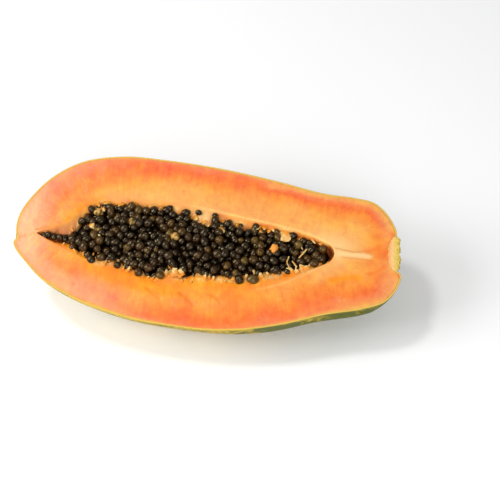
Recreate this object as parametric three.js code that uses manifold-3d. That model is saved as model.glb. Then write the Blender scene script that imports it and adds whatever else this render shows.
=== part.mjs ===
// Half of a ripe papaya, cut lengthwise and lying on its skin with the cut face tipped
// towards the front. Three pieces: the fruit half with its hollow, the mass of seeds
// that fills the hollow, and the corky scar where the stalk sat. Millimetres, +Z up.
//
// The fruit is drawn in its own frame: u (X) runs from the blossom end to the stem end,
// v (Y) runs across the cut face towards its far edge, and w (Z) stands out of the cut
// face, so the flesh is all below w = 0. A group then tips the fruit back to how it lies.

import * as THREE from "three";
import { mergeVertices } from "three/addons/utils/BufferGeometryUtils.js";
import Module from "manifold-3d";

const wasm = await Module();
wasm.setup();

// Driving dimensions of the lying half
const TILT = THREE.MathUtils.degToRad(18); // of the cut face, from level towards the front
const FLAT_SINK = 1.8; // how far the resting spot is flattened into the round skin
const CLEARANCE = 0.4; // between pieces that lie against each other
const SLIVER = 0.1; // details smaller than this, left by the joins, are dropped

// The fruit's outline on the cut face, from the dimple at the blossom end to the pocket
// of the stalk scar, as [u, v]. Both edges start and end at the same point.
const FAR_EDGE = [
  [2.5, 2], [0.9, 7], [2.2, 19], [9, 32], [23, 48], [43, 60], [71, 65], [100, 63.5],
  [140, 58.5], [180, 50.5], [211, 43], [233, 40.5], [247, 37], [257, 27], [262, 15],
  [260, 11.5], [257.5, 7], [257, 0],
];
const NEAR_EDGE = [
  [2.5, 2], [0.1, -1.5], [1.8, -6], [9, -14.5], [22, -27], [40, -37.5], [62, -46],
  [86, -53], [112, -57], [138, -58], [163, -56], [188, -50.5], [214, -43.5], [240, -39],
  [255, -33], [263, -22.5], [264.8, -14], [261, -10.5], [257.8, -6], [257, 0],
];
const ROUNDNESS = 0.96; // depth under the cut face over half the width there
const RIDGES = 5; // one for each carpel, as on any papaya
const RIDGE_SHARE = 0.013; // how far a ridge stands out, over the radius
const FRUIT_STEPS = 50;
const SKIN_FACETS = 22;
const END_CROWDING = 0.7; // share of the stations that crowd towards the two ends

// The hollow, as edges over u: the lip is where the cut face begins to round down,
// and the bed is where the steep wall under the seeds begins.
const HOLLOW = { start: 15.5, end: 221 };
const FAR_LIP = [
  [15.5, 6], [30, 13], [38, 18.5], [46, 27.5], [57, 32], [72, 33.5], [95, 32.5],
  [125, 29], [160, 22], [181, 18], [202, 12.5], [214, 7], [221, 1],
];
const NEAR_LIP = [
  [15.5, 5.4], [25, 0], [43, -9], [55, -15], [68, -21.5], [82, -26], [97, -29.5],
  [120, -32], [143, -32], [165, -29], [182, -24.5], [200, -16.5], [212, -9], [221, 0.4],
];
const FAR_BED = [
  [15.5, 5.9], [30, 6.5], [38, 9], [46, 21], [55, 29], [80, 31.5], [100, 29], [120, 24],
  [142, 20], [165, 17], [188, 14], [205, 9], [221, 0.9],
];
const NEAR_BED = [
  [15.5, 5.5], [28, 0], [43, -5.5], [56, -12.5], [75, -15], [96, -21.5], [120, -22.5],
  [145, -23], [162, -21], [188, -15.5], [205, -10], [221, 0.5],
];
const HOLLOW_ROUNDNESS = 0.86; // depth of the hollow below the bed, over half its width
const HOLLOW_STATIONS = 36;
const WALL_FACETS = 8;
const LIP_FACETS = 3;
const ABOVE_CUT = 8; // how far the cutting solids reach above the cut face

// The seeds
const BED_LEVEL = [[15.5, -2.4], [40, -1.8], [60, -0.9], [140, -1.2], [170, -2.6], [200, -4.6], [221, -5.4]];
const BED_MOUND = 2.2; // how far the middle of the seed mass stands above its sides
const SEED_LENGTH = 5.0;
const SEED_WIDTHS = [0.93, 0.9]; // of the other two axes, over the length
const SEED_COUNT = 258;
const SEED_SPACING = 4.8; // seeds nearer than this push each other apart
const SETTLING_ROUNDS = 60;
const SEED_SIZE_SPREAD = 0.08;
const SEED_LIFT = 0.8; // most that a seed sits above or below its neighbours
const SEED_DRAW = 20873; // first value of the random draw
const WIDEST_BED = [-24, 32];
const CORE_SINK = 1.2; // how far the core lies under the seeds' middles
const CORE_STATIONS = 20;
const CORE_TOPS = [0.75, 0, -0.75]; // where its top bends, across the bed
const CORE_REACH = 5;
const CORE_DEPTH = 40;
const STRAY_SEEDS = [[56, -15.5], [131, 22.5], [160, -24], [193, 14.5]]; // out on the slope

// The ragged stubs of seed stalks round the slope between the lip and the bed
const STUBS_PER_SIDE = 34;
const STUB_ZONE = { start: 40, end: 214 };
const STUB_RADIUS = [1.0, 1.9];
const STUB_HEIGHT = [2.4, 4.2];
const STUB_ROOT = 1.3; // how far a stub's foot is sunk into the flesh
const STUB_DRAW = 4451;

// The pale strand that runs through the neck, from the hollow to the stalk
const STRAND = { u: 236, v: 0.2, halfLength: 15, halfWidth: 2.0, halfHeight: 1.0, turn: -0.095 };

// The stalk scar, a half disc let into the stem end
const SCAR = { v: 0.8, inner: 257.6, outer: 262.6, radius: 11.2, ribs: 10, ribShare: 0.045, facets: 20 };

// A repeatable draw of numbers from 0 to 1.
function drawFrom(first) {
  let state = first;
  return () => {
    state = (state * 48271) % 2147483647;
    return state / 2147483647;
  };
}

// Straight-line position between two numbers.
const mix = (a, b, share) => a + (b - a) * share;

// A smooth curve through [u, v] points, read by its share of length from 0 to 1.
function edgeCurve(points) {
  const path = new THREE.CatmullRomCurve3(
    points.map(([u, v]) => new THREE.Vector3(u, v, 0)), false, "centripetal");
  path.arcLengthDivisions = 1200;
  return (share) => path.getPointAt(share);
}

// A smooth function through [x, y] points whose x values rise.
function valueCurve(points) {
  const slope = points.map((p, i) => {
    const before = points[Math.max(i - 1, 0)];
    const after = points[Math.min(i + 1, points.length - 1)];
    return (after[1] - before[1]) / (after[0] - before[0]);
  });
  return (x) => {
    let i = 0;
    while (i < points.length - 2 && x > points[i + 1][0]) i += 1;
    const [x0, y0] = points[i];
    const [x1, y1] = points[i + 1];
    const width = x1 - x0;
    const t = THREE.MathUtils.clamp((x - x0) / width, 0, 1);
    const rise = t * t * (3 - 2 * t);
    return mix(y0, y1, rise) + width * t * (1 - t) * (slope[i] * (1 - t) - slope[i + 1] * t);
  };
}

// A closed surface from rings of the same count of points, ending in a fan at each end.
function loft(rings) {
  const count = rings[0].length;
  const positions = rings.flat();
  const middle = (ring) => ring.reduce((sum, p) => sum.add(p), new THREE.Vector3()).divideScalar(count);
  positions.push(middle(rings[0]), middle(rings[rings.length - 1]));
  const index = [];
  for (let i = 0; i < rings.length - 1; i += 1) {
    for (let k = 0; k < count; k += 1) {
      const next = (k + 1) % count;
      const a = i * count + k;
      const b = i * count + next;
      index.push(a, a + count, b, b, a + count, b + count);
    }
  }
  const first = rings.length * count;
  for (let k = 0; k < count; k += 1) {
    const next = (k + 1) % count;
    index.push(first, k, next);
    index.push(first + 1, first - count + next, first - count + k);
  }
  const geometry = new THREE.BufferGeometry().setFromPoints(positions);
  geometry.setIndex(index);
  return geometry;
}

// The manifold solid of a closed geometry, whichever way round its faces were listed.
function solidOf(geometry) {
  const bare = new THREE.BufferGeometry().setAttribute("position", geometry.getAttribute("position"));
  bare.setIndex(geometry.index);
  const merged = mergeVertices(bare, 1e-4);
  const corners = merged.index.array;
  const kept = [];
  for (let i = 0; i < corners.length; i += 3) {
    const [a, b, c] = corners.subarray(i, i + 3);
    if (a !== b && b !== c && c !== a) kept.push(a, b, c);
  }
  const place = merged.getAttribute("position").array;
  const build = (faces) => new wasm.Manifold(new wasm.Mesh({
    numProp: 3, vertProperties: place, triVerts: new Uint32Array(faces),
  }));
  const made = build(kept);
  return made.volume() < 0 ? build(kept.reverse()) : made;
}

// A three.js geometry of a manifold solid, without any loose scraps.
function geometryOf(solid) {
  const bodies = solid.decompose().sort((a, b) => b.volume() - a.volume());
  const mesh = bodies[0].getMesh();
  const geometry = new THREE.BufferGeometry();
  geometry.setAttribute("position", new THREE.BufferAttribute(mesh.vertProperties, 3));
  geometry.setIndex(new THREE.BufferAttribute(mesh.triVerts, 1));
  const faceted = geometry.toNonIndexed();
  faceted.computeVertexNormals();
  return faceted;
}

// Many solids joined in one, pair by pair.
function joined(solids) {
  let round = solids;
  while (round.length > 1) {
    const next = [];
    for (let i = 0; i < round.length; i += 2) {
      next.push(i + 1 < round.length ? round[i].add(round[i + 1]) : round[i]);
    }
    round = next;
  }
  return round[0];
}

const farEdge = edgeCurve(FAR_EDGE);
const nearEdge = edgeCurve(NEAR_EDGE);

// A point of the skin: share runs from end to end, and turn from the far edge (0)
// under the fruit to the near edge (pi).
function skinPoint(share, turn) {
  const far = farEdge(share);
  const near = nearEdge(share);
  const half = (far.y - near.y) / 2;
  const under = Math.sin(turn) ** 2;
  const ridge = 1 + RIDGE_SHARE * under * Math.cos(RIDGES * turn);
  return new THREE.Vector3(
    mix(mix(far.x, near.x, (1 - Math.cos(turn)) / 2), (far.x + near.x) / 2, under),
    (far.y + near.y) / 2 + half * Math.cos(turn) * ridge,
    -half * ROUNDNESS * Math.sin(turn) * ridge,
  );
}

// The whole half fruit before anything is cut out of it.
function fruitBody() {
  const rings = [];
  for (let i = 0; i <= FRUIT_STEPS; i += 1) {
    const even = i / FRUIT_STEPS;
    const crowded = (1 - Math.cos(Math.PI * even)) / 2;
    const share = mix(even, crowded, END_CROWDING);
    const ring = [];
    for (let k = 0; k <= SKIN_FACETS; k += 1) ring.push(skinPoint(share, Math.PI * k / SKIN_FACETS));
    rings.push(ring);
  }
  return solidOf(loft(rings));
}

const lipFar = valueCurve(FAR_LIP);
const lipNear = valueCurve(NEAR_LIP);
const bedFar = valueCurve(FAR_BED);
const bedNear = valueCurve(NEAR_BED);
const bedLevel = valueCurve(BED_LEVEL);

// The stations of the hollow along u, crowded towards its two ends.
function hollowStations(count) {
  const stations = [];
  for (let i = 0; i <= count; i += 1) {
    const crowded = (1 - Math.cos(Math.PI * i / count)) / 2;
    stations.push(mix(HOLLOW.start, HOLLOW.end, mix(i / count, crowded, 0.6)));
  }
  return stations;
}

// Where the steep wall begins, under the seeds' level.
const shoulder = (u) => bedLevel(u) - 1.6;

// The hollow as a solid that cuts it, or, with an inset, the space inside its walls.
function hollowSolid(inset) {
  const rings = hollowStations(HOLLOW_STATIONS).map((u) => {
    const narrow = Math.min(inset, (lipFar(u) - lipNear(u)) * 0.4);
    const thin = Math.min(inset, (bedFar(u) - bedNear(u)) * 0.4);
    const far = { lip: lipFar(u) - narrow, bed: bedFar(u) - thin };
    const near = { lip: lipNear(u) + narrow, bed: bedNear(u) + thin };
    const half = (far.bed - near.bed) / 2;
    const middle = (far.bed + near.bed) / 2;
    const floor = shoulder(u) + inset;
    const ring = [new THREE.Vector3(u, near.lip, ABOVE_CUT), new THREE.Vector3(u, far.lip, ABOVE_CUT)];
    for (let k = 0; k < LIP_FACETS; k += 1) {
      const share = k / LIP_FACETS;
      ring.push(new THREE.Vector3(u, mix(far.lip, far.bed, share), mix(inset, floor, share ** 2)));
    }
    for (let k = 0; k <= WALL_FACETS; k += 1) {
      const turn = Math.PI * k / WALL_FACETS;
      ring.push(new THREE.Vector3(u, middle + half * Math.cos(turn),
        floor - half * HOLLOW_ROUNDNESS * Math.sin(turn)));
    }
    for (let k = LIP_FACETS - 1; k >= 0; k -= 1) {
      const share = k / LIP_FACETS;
      ring.push(new THREE.Vector3(u, mix(near.lip, near.bed, share), mix(inset, floor, share ** 2)));
    }
    return ring;
  });
  return solidOf(loft(rings));
}

// The height of the seeds' middles, across the bed from its near side (-1) to its far side (1).
function seedLevel(u, across) {
  const along = (u - HOLLOW.start) / (HOLLOW.end - HOLLOW.start);
  return bedLevel(u) + BED_MOUND * Math.sin(Math.PI * along) * (1 - across ** 2);
}

// The hidden heap of seeds under the ones that show. It reaches past the hollow's wall,
// which trims it.
function seedCore() {
  const rings = hollowStations(CORE_STATIONS).map((u) => {
    const half = (bedFar(u) - bedNear(u)) / 2;
    const middle = (bedFar(u) + bedNear(u)) / 2;
    const top = (across) => seedLevel(u, across) - CORE_SINK;
    return [
      new THREE.Vector3(u, middle - half - CORE_REACH, top(1)),
      new THREE.Vector3(u, middle - half - CORE_REACH, -CORE_DEPTH),
      new THREE.Vector3(u, middle + half + CORE_REACH, -CORE_DEPTH),
      new THREE.Vector3(u, middle + half + CORE_REACH, top(1)),
      ...CORE_TOPS.map((across) => new THREE.Vector3(u, middle + half * across, top(across))),
    ];
  });
  return solidOf(loft(rings));
}

// One seed, an egg-shaped body of few faces.
function seedSolid(centre, size, turns) {
  const egg = new THREE.IcosahedronGeometry(size / 2, 0);
  egg.scale(1, SEED_WIDTHS[0], SEED_WIDTHS[1]);
  egg.rotateX(turns[0]);
  egg.rotateY(turns[1]);
  egg.rotateZ(turns[2]);
  egg.translate(centre.x, centre.y, centre.z);
  return solidOf(mergeVertices(new THREE.BufferGeometry().setAttribute("position", egg.getAttribute("position")), 1e-4));
}

// Keeps a seed's middle on the bed.
function heldOnBed(seed) {
  const u = THREE.MathUtils.clamp(seed.u, HOLLOW.start + 2.5, HOLLOW.end - 3.5);
  const middle = (bedFar(u) + bedNear(u)) / 2;
  const room = Math.max((bedFar(u) - bedNear(u)) / 2 - SEED_LENGTH * 0.3, 0);
  return { u, v: THREE.MathUtils.clamp(seed.v, middle - room, middle + room) };
}

// Pushes apart every two seeds that are nearer than the spacing.
function pushApart(seeds) {
  seeds.forEach((a, i) => seeds.slice(i + 1).forEach((b) => {
    const gap = Math.hypot(b.u - a.u, b.v - a.v);
    if (gap >= SEED_SPACING) return;
    const push = (SEED_SPACING - gap) / 2 / Math.max(gap, 0.01);
    const [du, dv] = [(b.u - a.u) * push, (b.v - a.v) * push];
    a.u -= du;
    a.v -= dv;
    b.u += du;
    b.v += dv;
  }));
}

// Where the seeds lie: thrown on the bed at random, then settled until none crowd.
function seedPlaces(draw) {
  let seeds = [];
  while (seeds.length < SEED_COUNT) {
    const u = mix(HOLLOW.start, HOLLOW.end, draw());
    const v = mix(WIDEST_BED[0], WIDEST_BED[1], draw());
    if (v < bedFar(u) && v > bedNear(u)) seeds.push({ u, v });
  }
  for (let round = 0; round < SETTLING_ROUNDS; round += 1) {
    pushApart(seeds);
    seeds = seeds.map(heldOnBed);
  }
  for (const [u, v] of STRAY_SEEDS) seeds.push({ u, v });
  return seeds.map(({ u, v }) => {
    const half = (bedFar(u) - bedNear(u)) / 2;
    const across = THREE.MathUtils.clamp((v - (bedFar(u) + bedNear(u)) / 2) / half, -1, 1);
    return new THREE.Vector3(u, v, seedLevel(u, across) + (draw() - 0.5) * 2 * SEED_LIFT);
  });
}

// The seed mass: the seeds that show, standing out of the heap below them.
function seedMass(stubs) {
  const draw = drawFrom(SEED_DRAW);
  const seeds = seedPlaces(draw).map((place) => {
    const size = SEED_LENGTH * (1 + SEED_SIZE_SPREAD * (2 * draw() - 1));
    return seedSolid(place, size, [draw() * Math.PI, draw() * Math.PI, draw() * Math.PI]);
  });
  return joined([...seeds, seedCore()]).intersect(hollowSolid(CLEARANCE)).subtract(stubs)
    .simplify(SLIVER);
}

// The stubs of seed stalks, grown by the same amount all round.
function stalkStubs(grow) {
  const draw = drawFrom(STUB_DRAW);
  const stubs = [];
  for (const side of [1, -1]) {
    const lip = side > 0 ? lipFar : lipNear;
    const bed = side > 0 ? bedFar : bedNear;
    for (let i = 0; i < STUBS_PER_SIDE; i += 1) {
      const u = mix(STUB_ZONE.start, STUB_ZONE.end, (i + draw()) / STUBS_PER_SIDE);
      const share = mix(0.5, 1.0, draw());
      const radius = mix(STUB_RADIUS[0], STUB_RADIUS[1], draw()) + grow;
      const height = mix(STUB_HEIGHT[0], STUB_HEIGHT[1], draw()) + 2 * grow;
      const lean = mix(0.3, 0.9, draw());
      const cone = new THREE.ConeGeometry(radius, height, 5);
      cone.translate(0, height / 2 - STUB_ROOT - grow, 0);
      cone.rotateX(Math.PI / 2 + side * lean);
      cone.translate(u, mix(lip(u), bed(u), share), shoulder(u) * share ** 2);
      stubs.push(solidOf(cone));
    }
  }
  return joined(stubs);
}

// The strand in the neck, lying half sunk in the cut face.
function neckStrand() {
  const strand = new THREE.SphereGeometry(1, 12, 8);
  strand.rotateZ(Math.PI / 2);
  strand.scale(STRAND.halfLength, STRAND.halfWidth, STRAND.halfHeight);
  strand.rotateZ(STRAND.turn);
  strand.translate(STRAND.u, STRAND.v, 0);
  return solidOf(strand);
}

// The stalk scar, a ribbed half disc whose cut side is level with the cut face.
function stalkScar(grow) {
  const layers = [[0, 0.8], [0.3, 0.96], [0.65, 1], [0.9, 0.9], [1, 0.6]];
  const top = grow ? ABOVE_CUT : 0;
  const rings = layers.map(([along, width], layer) => {
    const ends = (layer === 0 ? -grow : 0) + (layer === layers.length - 1 ? grow : 0);
    const u = mix(SCAR.inner, SCAR.outer, along) + ends;
    const ring = [];
    for (let k = 0; k <= SCAR.facets; k += 1) {
      const turn = Math.PI * k / SCAR.facets;
      const rib = 1 + SCAR.ribShare * Math.cos(SCAR.ribs * turn);
      const radius = SCAR.radius * width * rib + grow;
      ring.push(new THREE.Vector3(u, SCAR.v + radius * Math.cos(turn), -radius * Math.sin(turn)));
    }
    if (grow) {
      ring.push(new THREE.Vector3(u, ring[SCAR.facets].y, top), new THREE.Vector3(u, ring[0].y, top));
    }
    return ring;
  });
  return solidOf(loft(rings));
}

// The matrix that tips the fruit's own frame back to how it lies.
const tipping = new THREE.Matrix4().makeRotationX(TILT);

// The lowest height of a solid once it is tipped.
function lowestTipped(solid) {
  const { vertProperties, numProp } = solid.getMesh();
  const point = new THREE.Vector3();
  let lowest = Infinity;
  for (let i = 0; i < vertProperties.length; i += numProp) {
    point.fromArray(vertProperties, i).applyMatrix4(tipping);
    lowest = Math.min(lowest, point.z);
  }
  return lowest;
}

// The slab that flattens the resting spot, drawn in the fruit's own frame.
function restingSlab(level) {
  const slab = new THREE.BoxGeometry(400, 400, 40);
  slab.translate(130, 0, level - 20);
  slab.applyMatrix4(tipping.clone().invert());
  return solidOf(slab);
}

// The fruit half: body, less its hollow, its scar pocket and the flattened spot,
// with the stubs and the strand grown on to it.
function fruitHalf(restLevel) {
  const stubs = stalkStubs(0);
  return fruitBody().subtract(hollowSolid(0)).add(neckStrand()).add(stubs)
    .subtract(stalkScar(CLEARANCE)).simplify(SLIVER / 2).subtract(restingSlab(restLevel));
}

// One named piece.
function piece(name, solid, colour, roughness) {
  const mesh = new THREE.Mesh(geometryOf(solid),
    new THREE.MeshStandardMaterial({ color: colour, roughness, metalness: 0, flatShading: true }));
  mesh.name = name;
  return mesh;
}

const restLevel = lowestTipped(fruitBody()) + FLAT_SINK;
const tipped = new THREE.Group();
tipped.rotation.x = TILT;
tipped.add(piece("fruit_half", fruitHalf(restLevel), 0xff9340, 0.45));
tipped.add(piece("seed_mass", seedMass(stalkStubs(CLEARANCE)), 0x1d1713, 0.3));
tipped.add(piece("stalk_scar", stalkScar(0), 0xcfc477, 0.8));

// The origin is the middle of the ground that the half covers.
const papaya = new THREE.Group();
papaya.add(tipped);
papaya.updateMatrixWorld(true);
const bounds = new THREE.Box3().setFromObject(papaya, true);
const centre = bounds.getCenter(new THREE.Vector3());
tipped.position.set(-centre.x, -centre.y, -bounds.min.z);

export default papaya;
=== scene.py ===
"""Looks of a ripe papaya cut in half lengthwise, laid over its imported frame.

The flesh, the skin, the seeds, the torn lining of the hollow and the stalk scar are built
here as detailed meshes with procedural finishes. Each takes the place of its plain solid.

Shapes are worked out in the fruit's own frame, in millimetres: u runs from the blossom end
to the stem end, v runs across the cut face towards its far edge, and w stands out of the
cut face, so the flesh lies below w = 0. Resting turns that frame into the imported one.
"""

import logging
import math
from dataclasses import dataclass, field
from enum import Enum
from typing import Any, Iterator, Sequence

import bmesh
import bpy
import numpy as np
from mathutils import Matrix, Vector, noise


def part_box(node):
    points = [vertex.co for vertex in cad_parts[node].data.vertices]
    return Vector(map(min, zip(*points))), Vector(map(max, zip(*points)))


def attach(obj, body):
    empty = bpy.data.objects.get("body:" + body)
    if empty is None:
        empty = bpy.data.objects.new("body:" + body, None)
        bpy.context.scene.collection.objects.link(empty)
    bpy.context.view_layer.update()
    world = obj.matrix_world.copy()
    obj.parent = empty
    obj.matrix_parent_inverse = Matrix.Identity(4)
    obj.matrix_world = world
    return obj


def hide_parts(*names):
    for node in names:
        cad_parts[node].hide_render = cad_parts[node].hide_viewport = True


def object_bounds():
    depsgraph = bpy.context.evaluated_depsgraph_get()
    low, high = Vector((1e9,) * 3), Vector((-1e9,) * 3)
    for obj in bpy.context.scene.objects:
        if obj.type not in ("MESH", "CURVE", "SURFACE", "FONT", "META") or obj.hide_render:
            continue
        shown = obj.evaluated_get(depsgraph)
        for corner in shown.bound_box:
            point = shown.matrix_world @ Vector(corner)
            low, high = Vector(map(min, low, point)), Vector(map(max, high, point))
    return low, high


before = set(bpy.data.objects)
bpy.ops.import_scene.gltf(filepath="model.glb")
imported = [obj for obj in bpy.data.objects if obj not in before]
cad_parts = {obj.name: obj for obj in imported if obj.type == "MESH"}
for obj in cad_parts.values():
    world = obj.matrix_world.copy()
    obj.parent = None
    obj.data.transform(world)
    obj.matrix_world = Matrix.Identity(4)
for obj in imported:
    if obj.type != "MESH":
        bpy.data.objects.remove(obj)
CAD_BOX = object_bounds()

LOG = logging.getLogger("papaya")
MM = 0.001
MIDDLE_U = 130.0
CLEAR_OF_ENDS = 110.0
OUTLINE_SAMPLES = 130
LIP_SAMPLES = 90
FINE_SAMPLES = 300
BOX_SAMPLES = (200, 91)
Points = np.ndarray
Pairs = tuple[tuple[float, float], ...]
Span = tuple[float, float]
Place = tuple[float, float, float]
Places = tuple[Place, ...]
Patches = tuple[tuple[float, float, float, float], ...]
Stops = tuple[tuple[float, str], ...]
Colour = tuple[float, float, float, float]


def colour(code: str) -> Colour:
    """Turns a display colour such as "ff8844" into Blender's linear RGBA.

    Args:
        code: Six hexadecimal digits.

    Returns:
        Red, green, blue and alpha, each from 0 to 1.
    """
    shown = [int(code[i : i + 2], 16) / 255 for i in (0, 2, 4)]
    linear = [c / 12.92 if c <= 0.04045 else ((c + 0.055) / 1.055) ** 2.4 for c in shown]
    return (linear[0], linear[1], linear[2], 1.0)


def mix(a: Any, b: Any, share: Any) -> Any:
    """Straight-line value between a and b."""
    return a + (b - a) * share


def ease(x: Any, low: float, high: float) -> Any:
    """Smooth step of x from 0 at low to 1 at high."""
    t = np.clip((x - low) / (high - low), 0.0, 1.0)
    return t * t * (3 - 2 * t)


def hump(distance: Any, width: float) -> Any:
    """A soft bump that is 1 at distance 0 and fades out over the width."""
    return np.exp(-((distance / width) ** 2))


def by_length(line: Points, shares: Points) -> Points:
    """Returns the points of a line of [u, v] rows at these shares of its length."""
    steps = np.linalg.norm(np.diff(line, axis=0), axis=1)
    travelled = np.concatenate([[0.0], np.cumsum(steps)]) / steps.sum()
    return np.stack([np.interp(shares, travelled, line[:, i]) for i in (0, 1)], -1)


class Draw:
    """A repeatable draw of numbers from 0 to 1."""

    def __init__(self, first: int) -> None:
        """Args:
            first: The first value of the draw.
        """
        self.state = first

    def __call__(self) -> float:
        """Returns the next number."""
        self.state = (self.state * 48271) % 2147483647
        return self.state / 2147483647

    def between(self, low: float, high: float) -> float:
        """Returns a number from low to high."""
        return mix(low, high, self())

    def around(self, reach: float) -> float:
        """Returns a number from -reach to reach."""
        return self.between(-reach, reach)


class EdgeCurve:
    """A smooth curve through points of the cut face, read by its share of length."""

    def __init__(self, points: Sequence[Sequence[float]], per_span: int = 48) -> None:
        """Args:
            points: The [u, v] points that it passes through.
            per_span: Samples between two of them.
        """
        given = [np.array(p, float) for p in points]
        given = [2 * given[0] - given[1], *given, 2 * given[-1] - given[-2]]
        samples: list[Points] = []
        for p0, p1, p2, p3 in zip(given, given[1:], given[2:], given[3:]):
            gaps = [math.sqrt(np.linalg.norm(b - a)) for a, b in ((p0, p1), (p1, p2), (p2, p3))]
            leave = (p1 - p0) / gaps[0] - (p2 - p0) / (gaps[0] + gaps[1]) + (p2 - p1) / gaps[1]
            arrive = (p2 - p1) / gaps[1] - (p3 - p1) / (gaps[1] + gaps[2]) + (p3 - p2) / gaps[2]
            leave, arrive = leave * gaps[1], arrive * gaps[1]
            for t in np.arange(per_span) / per_span:
                bend = -3 * p1 + 3 * p2 - 2 * leave - arrive
                samples.append(p1 + leave * t + bend * t**2 + (2 * p1 - 2 * p2 + leave + arrive) * t**3)
        self.samples = np.array([*samples, given[-2]])

    def at(self, share: Any) -> Points:
        """Returns the [u, v] points at these shares of the length."""
        return by_length(self.samples, share)


class ValueCurve:
    """A smooth function through [x, y] points whose x values rise."""

    def __init__(self, points: Pairs) -> None:
        """Args:
            points: The points that it passes through.
        """
        self.x, self.y = np.array(points, float).T
        before = np.concatenate([[0], np.arange(len(self.x) - 1)])
        after = np.concatenate([np.arange(1, len(self.x)), [len(self.x) - 1]])
        self.slope = (self.y[after] - self.y[before]) / (self.x[after] - self.x[before])

    def __call__(self, x: Any) -> Any:
        """Returns the function's value at x."""
        i = np.clip(np.searchsorted(self.x, x, side="left") - 1, 0, len(self.x) - 2)
        width = self.x[i + 1] - self.x[i]
        t = np.clip((x - self.x[i]) / width, 0, 1)
        rise = mix(self.y[i], self.y[i + 1], t * t * (3 - 2 * t))
        return rise + width * t * (1 - t) * (self.slope[i] * (1 - t) - self.slope[i + 1] * t)


class LineField:
    """Distances from places on the cut face to a line drawn on it."""

    def __init__(self, points: Sequence[Sequence[float]]) -> None:
        """Args:
            points: The line's corners, as [u, v].
        """
        self.corners = np.array(points, float)

    def distance(self, places: Points) -> tuple[Points, Points]:
        """Measures how far places lie from the line.

        Args:
            places: An array of [u, v, ...] rows.

        Returns:
            The distance of each place, and how far along the line its nearest point is.
        """
        best = np.full(len(places), 1e9)
        along = np.zeros(len(places))
        travelled = 0.0
        for a, b in zip(self.corners, self.corners[1:]):
            step = b - a
            length = float(np.linalg.norm(step))
            t = np.clip(((places[:, :2] - a) @ step) / max(length**2, 1e-9), 0, 1)
            gap = np.linalg.norm(places[:, :2] - (a + t[:, None] * step), axis=1)
            nearer = gap < best
            best[nearer] = gap[nearer]
            along[nearer] = travelled + t[nearer] * length
            travelled += length
        return best, along

    def mark(self, places: Points, width: float) -> Points:
        """Returns 1 on the line, fading out over the width."""
        return hump(self.distance(places)[0], width)


def line_marks(places: Points, lines: Sequence[tuple[Pairs, float, float]]) -> list[Points]:
    """Returns the mark that each line leaves at places, given its points, depth and width."""
    return [depth * LineField(points).mark(places, width) for points, depth, width in lines]


def patch(u: Points, v: Points, middle: Sequence[float], reach: Sequence[float]) -> Points:
    """Returns 1 in the middle of a round or oval patch, fading out over its reach."""
    return hump(np.hypot((u - middle[0]) / reach[0], (v - middle[1]) / reach[1]), 1.0)


class Side(Enum):
    """The two sides of the hollow, with the sign of v on each."""

    FAR = 1
    NEAR = -1


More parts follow.
